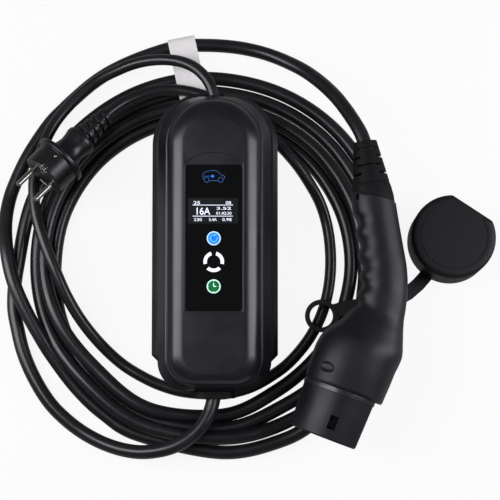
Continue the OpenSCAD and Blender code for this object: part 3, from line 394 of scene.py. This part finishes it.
# Turns of the coil: angle in degrees, radius and height; each turn has its own listed place in the heap
TURNS = (
    (180, 155, 6), (158, 154, 6), (135, 156, 6), (112, 159, 6), (90, 161, 6), (67, 161.5, 6),
    (45, 161, 6), (22, 159, 6), (0, 156.5, 6), (-22, 153.5, 6), (-40, 151, 6), (-60, 149, 6),
    (-82, 146, 13.5), (-110, 142.5, 14), (-135, 137.5, 14), (-158, 138.5, 8),
    (-180, 139, 6), (-202, 141, 6), (-225, 144, 6), (-248, 147, 6), (-270, 148.5, 6), (-293, 149, 6),
    (-315, 149, 6), (-338, 147.5, 6), (-360, 145.5, 6), (-382, 142, 6), (-400, 139.5, 6),
    (-420, 136, 6), (-442, 138, 6), (-470, 136, 6), (-495, 131.5, 6), (-518, 127, 6),
    (-540, 124, 6), (-562, 124.5, 6), (-585, 125, 6), (-608, 125.5, 6), (-630, 125.5, 6),
    (-653, 125.5, 6), (-675, 125.5, 6), (-698, 125, 6), (-720, 124.5, 6), (-742, 123.5, 6),
    (-760, 122.5, 6), (-780, 122.5, 6), (-802, 127, 6), (-830, 128.5, 13.5), (-855, 124, 14),
    (-878, 128, 17), (-900, 131.5, 14.5), (-922, 133, 13.8), (-945, 134, 13), (-968, 134.5, 12.7),
    (-990, 135, 12.5), (-1013, 135.5, 12.5), (-1035, 136, 12), (-1058, 135.5, 11), (-1080, 135, 10),
    (-1092, 136.5, 13), (-1102, 141, 17), (-1112, 149, 17), (-1122, 156.5, 13.8), (-1134, 160.5, 8.6),
    (-1146, 160.5, 6), (-1164, 157, 6), (-1190, 151, 6), (-1203, 148.6, 6), (-1215, 146.5, 7),
    (-1228, 146, 10), (-1236, 147.5, 13),
)
# From the coil to the connector
END_POINTS = (
    (-144, -36, 16), (-154, -13, 18), (-160, 11, 17), (-163, 36, 11), (-161, 58, 6.5),
    (-155.5, 75, 6), (-148, 92.4, 6), (-138.4, 109.3, 6), (-127.2, 125.8, 6), (-117.4, 136.3, 6),
    (-107, 146.6, 6), (-91.4, 160.4, 6), (-73.5, 172, 6), (-49, 183, 6.4), (-20, 192, 6.5),
    (5, 193.2, 6.5), (28, 191.8, 6.2), (46.5, 188.2, 6.6), (61.5, 183, 8.6), (75, 176, 12.8),
    (87.2, 167.6, 19.2), (97.6, 157.8, 27), (106.6, 147.2, 35.6), (114.6, 136, 43.6),
    (121.4, 124.6, 50), (125.6, 116.8, 54), (128.8, 110.33, 57.2), (132.25, 102.74, 60.03),
    (134.81, 94.68, 61.56), (136.52, 85.8, 61.79), (142.42, 41.26, 59.38),
)
lead_start = [in_layout(BOX, x, y, EXIT_Z) for x, y in LEAD_START]
lead_end = [in_layout(PLUG, 0, y, 0) for y in (56.5, 6)]
lead_route = lead_start + [Vector(p) for p in LEAD_POINTS] + lead_end
cable_start = [in_layout(BOX, x, y, EXIT_Z) for x, y in CABLE_START]
coil_route = [
    COIL_AT + Vector((r * math.cos(math.radians(a)), r * math.sin(math.radians(a)), z))
    for a, r, z in TURNS
]
cable_route = (
    cable_start + [Vector(p) for p in START_POINTS] + coil_route + [Vector(p) for p in END_POINTS]
)
mains_cord = cord_piece("mains_lead_cord", lead_route, LEAD_D)
charge_cord = cord_piece("charge_cable_cord", cable_route, CABLE_D)
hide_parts("mains_lead")
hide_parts("charge_cable_start", "charge_cable_coil", "charge_cable_end")

# Mains plug: a closed barrel, a flange, a waisted neck and a ribbed relief, in the plug's frame

PLUG_SIDES = 72
# Place along the cord, half width and half thickness
PLUG_ROWS = [
    (-20.6, 17.6, 17.6), (-20.3, 18.6, 18.6), (-19.2, 19, 19), (-2.6, 19.2, 19.2), (-2.4, 21.4, 21.4),
    (-1.6, 22.3, 22.3), (1.2, 22.3, 22.3), (2, 21.4, 21.4), (2.2, 15.4, 13.2), (4, 14.2, 12.2),
    (8, 12.6, 10.6), (13, 11.8, 9.8), (18, 12.4, 10.4), (22, 13.4, 11.4), (25, 13.4, 11.4),
    (27, 12, 10.4),
]
# Ribs of the relief: count, start, pitch, first radius and loss of radius from rib to rib
RIBS, RIB_START, RIB_PITCH, RIB_R, RIB_LOSS = 4, 27, 7.1, 10.4, 0.9
# One rib: place behind its start and depth below its radius
RIB_LINE = ((0.3, 3), (2.3, 3), (2.5, 0), (6.6, 0.5))
for k in range(RIBS):
    start, r = RIB_START + k * RIB_PITCH, RIB_R - RIB_LOSS * k
    PLUG_ROWS += [(start + y, r - depth, r - depth) for y, depth in RIB_LINE]
PLUG_ROWS.append((55.6, 5.6, 5.6))
# Slot in the barrel, drawn as a strip of painted shade: half width, its two ends along the cord and its
# heights
SLOT_R, SLOT_ENDS, SLOT_Z = 0.45, (-7, -19), (18.6, 19.16)
RIVET_Y = -6
# Radius and height of the rivet's rows
RIVET_ROWS = ((1.3, 18.8), (1.25, 19.3), (0.9, 19.55), (0.4, 19.6))
WIRE_R = 0.55
# One half of the earth loop, from its foot on the barrel to the middle of the bow
HALF_LOOP = ((-1.9, -17.8, 19.2), (-1.9, -19.6, 19.2), (-1.9, -20.9, 18.4), (-1.8, -21, 12), (-1.2, -21, 9.4))
LOOP_POINTS = [*HALF_LOOP, (0, -21, 8.4), *((-x, y, z) for x, y, z in reversed(HALF_LOOP))]


def draw_plug(work):
    """Ovals along the cord, closed at both ends."""
    turns = [math.tau * k / PLUG_SIDES for k in range(PLUG_SIDES)]
    rows = [
        [work.verts.new((half * math.cos(t) * MM, y * MM, thick * math.sin(t) * MM)) for t in turns]
        for y, half, thick in PLUG_ROWS
    ]
    closed(work, rows)


def draw_slot_shade(work):
    """Narrow slot with round ends, as a dark strip of painted shade just under the skin."""
    near, far = SLOT_ENDS
    plate(work, arc(0, near, SLOT_R, 0, 180, 8) + arc(0, far, SLOT_R, 180, 360, 8), *SLOT_Z)


def draw_rivet(work):
    """Domed rivet head on the barrel."""
    rows = [loop(work, arc(0, RIVET_Y, r, 0, 345, 23), z) for r, z in RIVET_ROWS]
    bridge(work, *rows)
    work.faces.new(rows[-1])


plug = moulding("plug_moulded", draw_plug, PLUG, pvc_plug, 0.5)
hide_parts("plug_body")
# A dark strip of painted shade stands for the hollow of the slot
slot_shade_strip = piece("plug_slot_painted_shade", mesh_from("plug_slot_painted_shade", draw_slot_shade, PLUG), rubber_soft)
rivet = piece("plug_rivet", mesh_from("plug_rivet", draw_rivet, PLUG), nickel)
loop_points = [PLUG @ (Vector(p) * MM) for p in LOOP_POINTS]
earth_loop = piece("earth_loop", tube("earth_loop", loop_points, WIRE_R, 4), nickel)

# Tape round the coil and the last run

# Radius and height of the band's points, in the coil's frame with the radius along X
TAPE_LINE = (
    (116.5, 0.9), (150, 0.7), (186, 0.7), (197.4, 1.4), (198.6, 6.5), (196, 12.2), (189, 13.4),
    (180, 13.2), (168, 13.6), (160, 14.2), (150, 15.4), (141, 18.6), (134, 19.3), (126, 18.2),
    (119.5, 13.4), (117.2, 8),
)
# Place across the band and how far it sags there
TAPE_ROWS = ((-12, 0), (-4, 0.25), (4, 0.25), (12, 0))
TAPE_T = 0.4
# Turn round the coil, and slant about a point at a radius, in degrees and millimetres
TAPE_TURN, TAPE_SLANT, SLANT_R = 95.5, 6.5, 190


def draw_tape(work):
    """Band of tape drawn over the strands."""
    rows = [
        [work.verts.new((x * MM, side * MM, (z - sag) * MM)) for x, z in TAPE_LINE]
        for side, sag in TAPE_ROWS
    ]
    bridge(work, *rows)


tape_place = (
    COIL
    @ Matrix.Rotation(math.radians(TAPE_TURN), 4, "Z")
    @ Matrix.Translation((SLANT_R * MM, 0, 0))
    @ Matrix.Rotation(math.radians(TAPE_SLANT), 4, "Z")
    @ Matrix.Translation((-SLANT_R * MM, 0, 0))
)
coil_tape = piece("coil_tape", mesh_from("coil_tape", draw_tape, tape_place), paper_tape)
thicken = coil_tape.modifiers.new("thickness", "SOLIDIFY")
thicken.thickness = TAPE_T * MM
soften = coil_tape.modifiers.new("soft", "SUBSURF")
soften.levels = 2
soften.render_levels = 2
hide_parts("coil_tie")

# Solids that stay: their material, the width of their soft edges and their names

FINISHES = (
    (abs_texture, 0.5, ("rear_shell",)),
    (acrylic_gloss, 0.3, ("window_panel",)),
    # The display and the icon guides carry the painted glow of their materials
    (display_glass, 0, ("display_module",)),
    (print_white, 0, ("icon_guides",)),
    (solder_mask, 0, ("display_board", "main_board")),
    (zinc, 0.15, ("housing_screws", "board_screws", "handle_screws")),
    (relay_blue, 0.4, ("relays",)),
    (epoxy_black, 0.4, ("current_sensor", "supply_module")),
    (film_yellow, 0.5, ("filter_capacitor",)),
    (polyamide_green, 0.3, ("wire_terminals",)),
    (pvc_brown, 0, ("conductors",)),
    (polyamide_white, 0.4, ("cord_clamps", "pin_bridge")),
    (rubber_firm, 0.5, ("housing_seal", "mains_gland", "charge_gland", "cable_boot")),
    (rubber_soft, 0.6, ("protective_cap", "strap_ring")),
    (nickel, 0.3, ("plug_pins", "earth_contacts")),
    (nylon_satin, 0.5, ("nose_shroud", "contact_carrier")),
    (band_gloss, 0.4, ("nose_band",)),
    (silver, 0.15, ("power_contacts", "signal_contacts")),
    (aluminium, 0.3, ("cable_grip",)),
)
for material, edge, names in FINISHES:
    for name in names:
        solid = node[name]
        solid.data.materials.clear()
        solid.data.materials.append(material)
        solid.data.shade_smooth()
        weld = solid.modifiers.new("weld", "WELD")
        weld.merge_threshold = 0.005 * MM
        eased(solid, edge)

# Front shell of the box: a leaning skirt, a step line and a front that eases into the flat face

# Heights in the box's frame
SKIRT_FOOT_Z, SKIRT_TOP_Z, STEP_Z, FACE_Z, PANEL_Z, SILL_Z = 27, 41, 41.1, 56, 55.2, 53.4
# Outlines: half width, mains end, cable end and the corner radii at those ends
SKIRT_FOOT = (46, 120, -120, 38, 24)
SKIRT_TOP = (39, 116, -116, 37.5, 23)
STEP = (38.2, 115.2, -115.2, 36.7, 22.2)
FACE = (24, 95, -105, 16, 16)
SEAT = (22.6, 60.1, -56.1, 2.6, 2.6)
# Recess round the window: half width, foot, top at the sides and rise of the arch
RECESS_HALF, RECESS_FOOT, RECESS_TOP, RECESS_RISE = 23.5, -57, 61, 9
EASE_ROWS = 18
FRONT_WALL = 2


def body_outline(half, top, foot, r_top, r_foot):
    """Outline of the body from its half width, its ends and the corner radii at the ends."""
    corners = (
        (half - r_top, top - r_top, r_top, 0),
        (r_top - half, top - r_top, r_top, 90),
        (r_foot - half, foot + r_foot, r_foot, 180),
        (half - r_foot, foot + r_foot, r_foot, 270),
    )
    return [point for cx, cy, r, start in corners for point in arc(cx, cy, r, start, start + 90, 16)]


def recess_outline():
    """Arched outline of the recess round the window."""
    half, rise = RECESS_HALF, RECESS_RISE
    r = (half * half + rise * rise) / (2 * rise)
    spread = math.degrees(math.asin(half / r))
    arch = arc(0, RECESS_TOP + rise - r, r, 90 - spread, 90 + spread, 24)
    return [(-half, RECESS_FOOT), (half, RECESS_FOOT), *arch]


def flat_between(work, outer, inner):
    """Flat face from an outer row to an inner one."""
    edges = []
    for row in (outer, inner):
        for i, vertex in enumerate(row):
            after = row[(i + 1) % len(row)]
            edges.append(work.edges.get((vertex, after)) or work.edges.new((vertex, after)))
    bmesh.ops.triangle_fill(work, edges=edges, use_beauty=True)


def draw_front(work):
    """Skirt, step and eased front, with the recess and the seat of the window let into the face."""
    rows = [
        loop(work, body_outline(*SKIRT_FOOT), SKIRT_FOOT_Z),
        loop(work, body_outline(*SKIRT_TOP), SKIRT_TOP_Z),
        loop(work, body_outline(*STEP), STEP_Z),
    ]
    for k in range(1, EASE_ROWS + 1):
        turn = math.radians(90 * k / EASE_ROWS)
        draw_in = 1 - math.cos(turn)
        outline = body_outline(*(a + (b - a) * draw_in for a, b in zip(STEP, FACE)))
        rows.append(loop(work, outline, STEP_Z + (FACE_Z - STEP_Z) * math.sin(turn)))
    bridge(work, *rows)
    brim, ledge = (loop(work, recess_outline(), z) for z in (FACE_Z, PANEL_Z))
    mouth, sill = (loop(work, body_outline(*SEAT), z) for z in (PANEL_Z, SILL_Z))
    bridge(work, brim, ledge)
    bridge(work, mouth, sill)
    flat_between(work, rows[-1], brim)
    flat_between(work, ledge, mouth)


front_mesh = mesh_from("front_shell_moulded", draw_front, BOX)
front = piece("front_shell_moulded", front_mesh, abs_satin)
wall = front.modifiers.new("wall", "SOLIDIFY")
wall.thickness = FRONT_WALL * MM
eased(front, 0.3)
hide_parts("front_shell")

# Handle of the connector: one loft with finger hollows, the thumb mark and a slanted rear end

# Place of the seam, and distances behind it: end of the straight part, end of the front and the grip's length
SEAM_Y, STRAIGHT_S, FRONT_S, GRIP_S = 40, 24, 60, 64
BEND_R, BEND_A = 100, math.radians(28.5)
GRIP_END = FRONT_S + BEND_R * BEND_A + GRIP_S
# How far the neck lies to the side of the nose
NECK_SHIFT = 5
# Power that makes the round sections a little squarer
SQUARE = 0.86
# Distance behind the seam, half width and half thickness
STATIONS = (
    (0, 32.5, 32), (24, 33.5, 33), (40, 32.5, 31.5), (55, 25.5, 25.5), (68, 21, 20), (94, 19.5, 19),
    (GRIP_END - 40, 18, 18), (GRIP_END - 12, 17.4, 17.5), (GRIP_END, 16, 16),
)
# Finger hollows: start, pitch, depth and count
FINGER_S, FINGER_PITCH, FINGER_DEPTH, FINGERS = FRONT_S + 2, 18, 2.9, 5
# Dents: distance behind the seam, angle round the handle, half length, half width and depth
DENTS = ((12.5, 123, 4, 7, 1.6), (GRIP_END - 11, 138, 2.3, 2.3, 4))
# Slanted rear end: its middle before the end of the grip, and its slant to each side
CUT_BACK, CUT_SLANT = 11, 7
HANDLE_ROWS = 110
# Depth of the lips at both ends and of the parting line along both sides
LIP, PARTING = 0.9, 0.35
# Collar: share of the way from the slanted end to the boot, and inset
COLLAR_ROWS = ((-0.03, 2.5), (0, 0.8), (0.3, 0.6), (0.7, 0.7), (0.93, 1.2), (1, 2.2))


def handle_line(s):
    """Middle line of the handle and its direction, at a distance behind the seam."""
    turn = min(max(0, (s - FRONT_S) / BEND_R), BEND_A)
    rest = max(0, s - FRONT_S - BEND_R * BEND_A)
    t = min(max((s - STRAIGHT_S) / (FRONT_S - STRAIGHT_S), 0), 1)
    x = NECK_SHIFT * t * t * (3 - 2 * t) - BEND_R * (1 - math.cos(turn)) - rest * math.sin(turn)
    y = SEAM_Y + min(s, FRONT_S) + BEND_R * math.sin(turn) + rest * math.cos(turn)
    return Vector((x, y, 0)), turn


def handle_size(s):
    """Half width and half thickness of the handle at a distance behind the seam."""
    i = max(k for k in range(len(STATIONS) - 1) if STATIONS[k][0] <= s or k == 0)
    a, b, c, d = (STATIONS[min(max(i + k, 0), len(STATIONS) - 1)] for k in (-1, 0, 1, 2))
    t = min((s - b[0]) / (c[0] - b[0]), 1)
    return [
        b[k]
        + (c[k] - a[k]) * t / 2
        + (2 * a[k] - 5 * b[k] + 4 * c[k] - d[k]) * t * t / 2
        + (3 * b[k] - a[k] - 3 * c[k] + d[k]) * t**3 / 2
        for k in (1, 2)
    ]


def handle_skin(s, angle, inset):
    """Point on the handle at a distance behind the seam and an angle round it."""
    half, thick = handle_size(s)
    round_x, round_z = math.cos(math.radians(angle)), math.sin(math.radians(angle))
    swell_x, swell_z = (math.copysign(abs(v) ** SQUARE, v) for v in (round_x, round_z))
    t = (s - FINGER_S) / FINGER_PITCH
    hollow = FINGER_DEPTH * (1 - math.cos(math.tau * t)) / 2 if 0 < t < FINGERS else 0
    for at, about, length, width, depth in DENTS:
        reach = ((s - at) / length) ** 2 + (math.radians(angle - about) * half / width) ** 2
        inset += depth * math.sqrt(1 - reach) if reach < 1 else 0
    across = (half - inset - (hollow if swell_x < 0 else 0)) * swell_x
    middle, turn = handle_line(s)
    side = Vector((math.cos(turn), math.sin(turn), 0))
    return (middle + across * side + Vector((0, 0, (thick - inset) * swell_z))) * MM


def handle_cut(angle):
    """Slanted end of the handle, nearer to the boot on the finger side."""
    return GRIP_END - CUT_BACK - CUT_SLANT * math.cos(math.radians(angle))


def handle_angles():
    """Angles round the handle, closer together at the dents and at the parting line."""
    fine = {about + step for _, about, *_ in DENTS for step in range(-16, 17)}
    return sorted(fine | set(range(0, 360, 4)) | {1, 179, 181, 359})


def draw_handle(work):
    """Rows along the handle up to its slanted end, closer together at the dents."""
    places = {k * GRIP_END / HANDLE_ROWS for k in range(HANDLE_ROWS + 1)}
    places |= {at + step * 0.5 for at, *_ in DENTS for step in range(-10, 11)}
    angles = handle_angles()
    rows = []
    for place in sorted(places):
        share = place / GRIP_END
        lip = LIP if share in (0, 1) else 0
        insets = [lip + (PARTING if a in (0, 180) else 0) for a in angles]
        skin = [handle_skin(share * handle_cut(a), a, inset) for a, inset in zip(angles, insets)]
        rows.append([work.verts.new(point) for point in skin])
    closed(work, rows)


def draw_collar(work):
    """Collar between the slanted end of the handle and the boot."""
    rows = []
    for t, inset in COLLAR_ROWS:
        skin = [
            handle_skin(handle_cut(a) * (1 - t) + (GRIP_END + 0.5) * t, a, inset)
            for a in range(0, 360, 6)
        ]
        rows.append([work.verts.new(point) for point in skin])
    closed(work, rows)


handle = moulding("handle_moulded", draw_handle, CONNECTOR, nylon_satin, 0.3)
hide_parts("handle_upper", "handle_lower")
moulding("boot_collar", draw_collar, CONNECTOR, rubber_firm, 0.3)

# Web that closes the nose on its lower side: radii, angles and distance behind the mouth

WEB_R, WEB_ANGLES, WEB_S = (28.4, 29.6), (74, 106), (7.6, 19.4)


def draw_web(work):
    """Thin curved web inside the nose."""
    ring_part(work, 0, 0, *WEB_R, *WEB_ANGLES, *WEB_S)


nose_frame = CONNECTOR @ Matrix.Rotation(math.radians(-90), 4, "X")
moulding("nose_web", draw_web, nose_frame, nylon_satin, 0.2)

# Prints on the panel, in the box's frame

# Foot of all prints, and tops of the glass, the discs, the lines and what lies over them
LOW, GLASS, DISC, MIDDLE, TOP = (PANEL_Z + step for step in (-0.05, 0.02, 0.03, 0.04, 0.08))
# Places of the round marks down the panel, their radius and the radii of their rims
BLUE_Y, RING_Y, CLOCK_Y = 1.4, -17.2, -36.7
MARK_R, RIM_R = 4.65, (4.6, 5.6)
ROUND = (0, 359.9)
CAR_LINE = (
    (-8.5, 48.6), (-8.9, 50.8), (-8.5, 52.8), (-6.6, 54.4), (-3.5, 55.3), (-0.7, 55.5), (2.0, 55.2),
    (4.0, 53.8), (5.8, 52.0), (7.6, 51.4), (8.6, 50.6), (8.5, 48.8),
)


def printed(name, build, material):
    """Thin print on the panel."""
    mesh = mesh_from(name, build, BOX)
    mesh.shade_flat()
    return piece(name, mesh, material)


def disc(work, cx, cy, r, high):
    """Round print."""
    plate(work, arc(cx, cy, r, 0, 360 - 7.5, 47), LOW, high)


def stroke(work, points, width, high):
    """Flat line of one width through points."""
    left, right = [], []
    for i, (x, y) in enumerate(points):
        ax, ay = points[max(i - 1, 0)]
        bx, by = points[min(i + 1, len(points) - 1)]
        size = math.hypot(bx - ax, by - ay)
        nx, ny = -(by - ay) / size * width / 2, (bx - ax) / size * width / 2
        left.append((x + nx, y + ny))
        right.append((x - nx, y - ny))
    plate(work, left + right[::-1], LOW, high)


def draw_display(work):
    """Glass of the display."""
    bar(work, -20.4, 13.2, 19.2, 33.4, LOW, GLASS)


def draw_rules(work):
    """Two fine rules across the display."""
    for y in (27.6, 18.8):
        bar(work, -16.8, y, 15.2, y + 0.5, LOW, MIDDLE)


def draw_white(work):
    """Ring in three parts."""
    for start in (-14, 106, 226):
        ring_part(work, 0, RING_Y, 5.4, 8.2, start, start + 88, LOW, MIDDLE)


def draw_blue(work):
    """Disc of the upper mark."""
    disc(work, 0, BLUE_Y, MARK_R, DISC)


def draw_blue_rim(work):
    """Rim of the upper mark."""
    ring_part(work, 0, BLUE_Y, *RIM_R, *ROUND, LOW, MIDDLE)


def draw_arrow(work):
    """Turning arrow on the upper mark."""
    ring_part(work, 0, BLUE_Y, 2.1, 3.3, 70, 380, LOW, MIDDLE)
    plate(work, [(0.2, BLUE_Y + 1.3), (2.4, BLUE_Y + 2.9), (0.1, BLUE_Y + 4.1)], LOW, MIDDLE)


def draw_green(work):
    """Disc of the lower mark."""
    disc(work, 0, CLOCK_Y, MARK_R, DISC)


def draw_clock(work):
    """Rim, hands and four hour marks of a clock on the lower mark."""
    ring_part(work, 0, CLOCK_Y, *RIM_R, *ROUND, LOW, MIDDLE)
    stroke(work, [(0, CLOCK_Y + 2.9), (0, CLOCK_Y - 0.3)], 0.8, TOP)
    stroke(work, [(-0.4, CLOCK_Y), (2.1, CLOCK_Y)], 0.8, TOP)
    for x, y in ((0, 1), (1, 0), (0, -1), (-1, 0)):
        stroke(work, [(r * x, CLOCK_Y + r * y) for r in (3.9, 4.7)], 0.7, TOP)


def draw_car(work):
    """Car in outline: body, sill, waist line and two wheels."""
    stroke(work, CAR_LINE, 0.42, MIDDLE)
    stroke(work, [(-3.3, 47.3), (2.9, 47.3)], 0.5, MIDDLE)
    stroke(work, [(-8.4, 50.9), (-2.0, 50.9)], 0.36, MIDDLE)
    for x in (-5.8, 5.4):
        ring_part(work, x, 48.0, 1.75, 2.2, *ROUND, LOW, MIDDLE)


def draw_car_light(work):
    """Lit spot on the car."""
    disc(work, -0.9, 50.9, 1.15, TOP)


# Every print here carries the painted glow of its material
printed("display_area", draw_display, display_glass)
printed("display_rules", draw_rules, print_white)
printed("panel_marks_white", draw_white, print_white)
printed("round_mark_blue", draw_blue, print_blue)
printed("round_mark_rim", draw_blue_rim, print_ice)
printed("round_mark_arrow", draw_arrow, print_pale_blue)
printed("round_mark_green", draw_green, print_green)
printed("round_mark_clock", draw_clock, print_mint)
printed("car_mark", draw_car, print_navy)
printed("car_light", draw_car_light, print_blue)

# Figures on the display: text, left edge, foot, height and width in millimetres
FIGURES = (
    ("16A", -15.0, 20.3, 5.6, 10.8), ("25", -16.2, 28.5, 2.5, 5.2), ("08", 9.4, 28.5, 2.5, 4.2),
    ("3.52", 1.8, 24.2, 2.2, 11.6), ("01:42:30", 1.8, 20.3, 2.2, 12.2),
    ("230", -15.9, 15.2, 2.3, 6.4), ("3.4A", -4.0, 15.2, 2.3, 6.2), ("0.98", 6.6, 15.2, 2.3, 7.4),
)
# Height of a figure as a share of the font's size, and its height against what its strokes gain in width
FIGURE_SHARE, FIGURE_BOLD = 0.7, 55
# The figures carry the painted glow of the white print
for k, (text, x, y, height, width) in enumerate(FIGURES):
    letters = bpy.data.curves.new(f"display_figure_{k}", "FONT")
    letters.body = text
    letters.size = height / FIGURE_SHARE * MM
    letters.extrude = 0.04 * MM
    letters.offset = height / FIGURE_BOLD * MM
    figure = piece(f"display_figure_{k}", letters, print_white)
    bpy.context.view_layer.update()
    stretch = width * MM / figure.dimensions.x
    place = Matrix.Translation(Vector((x, y, PANEL_Z + 0.05)) * MM)
    figure.matrix_world = BOX @ place @ Matrix.Diagonal((stretch, 1, 1, 1))

# Stage, light and camera

# Paper sweep: white to the camera and in reflections, as a painted pool of light round the object, with its
# shadow kept
paper = blank("paper_sweep_white")
path = add(paper, "LightPath").outputs
mirrored = maths(paper, "MAXIMUM", path["Is Glossy Ray"], path["Is Transmission Ray"])
seen = maths(paper, "MAXIMUM", path["Is Camera Ray"], mirrored)
share = maths(paper, "MULTIPLY", seen, 0.9)
level = maths(paper, "MAXIMUM", path["Is Camera Ray"], 0.3)
middle = add(paper, "TexCoord").outputs["Object"]
reach = add(paper, "VectorMath", {0: middle}, operation="LENGTH").outputs["Value"]
# Painted pool of light: the sweep's glow fades from white near the object to dim grey far off
painted_light_pool = mapped(paper, reach, (0.42, 0.8), 1.0, 0.12)
matte = add(paper, "BsdfDiffuse", {"Color": two_tone(paper, noise(paper, 3), "#f4f4f4", "#fafafa")})
white = add(paper, "Emission", {"Strength": maths(paper, "MULTIPLY", painted_light_pool, level)})
surface = add(paper, "MixShader", {0: share, 1: matte.outputs[0], 2: white.outputs[0]})
add(paper, "OutputMaterial", {"Surface": surface.outputs[0]})

FLOOR_HALF, FLOOR_Z = 4000, (-5, -0.2)


def draw_floor(work):
    """Wide sheet just under the part."""
    bar(work, -FLOOR_HALF, -FLOOR_HALF, FLOOR_HALF, FLOOR_HALF, *FLOOR_Z)


floor = bpy.data.objects.new("floor", mesh_from("floor", draw_floor, Matrix.Identity(4)))
floor.data.materials.append(paper)
bpy.context.scene.collection.objects.link(floor)


def softbox(name, place, aim, watts, colour):
    """Tall rectangular lamp that faces a point."""
    lamp = bpy.data.lights.new(name, "AREA")
    lamp.shape = "RECTANGLE"
    lamp.size, lamp.size_y = 0.45, 1.15
    lamp.energy = watts
    lamp.color = linear(colour)[:3]
    made = bpy.data.objects.new(name, lamp)
    bpy.context.scene.collection.objects.link(made)
    made.location = place
    made.rotation_euler = (Vector(aim) - Vector(place)).to_track_quat("-Z", "Y").to_euler()


# Soft panels on both sides, the left one higher, so that they run along the bevels of the box
softbox("panel_left", (-0.82, 0.03, 0.80), (-0.09, 0.03, 0.04), 8.7, "#fcfaff")
softbox("panel_right", (0.82, 0.03, 0.56), (-0.03, 0.03, 0.04), 8.2, "#f6f3ff")

world = bpy.data.worlds.new("studio")
bpy.context.scene.world = world
world.use_nodes = True
sky = world.node_tree.nodes["Background"].inputs
sky["Color"].default_value = linear("#d9dce0")
sky["Strength"].default_value = 0.15

ELEVATION = math.radians(81)
DISTANCE = 1.2
TARGET = Vector((-0.0613, 0.0214, 0))
lens = bpy.data.cameras.new("camera")
lens.lens = 102.3
lens.sensor_width = 36
camera = bpy.data.objects.new("camera", lens)
bpy.context.scene.collection.objects.link(camera)
camera.location = TARGET + DISTANCE * Vector((0, -math.cos(ELEVATION), math.sin(ELEVATION)))
camera.rotation_euler = (math.pi / 2 - ELEVATION, 0, 0)
bpy.context.scene.camera = camera
bpy.context.scene.view_settings.view_transform = "Standard"
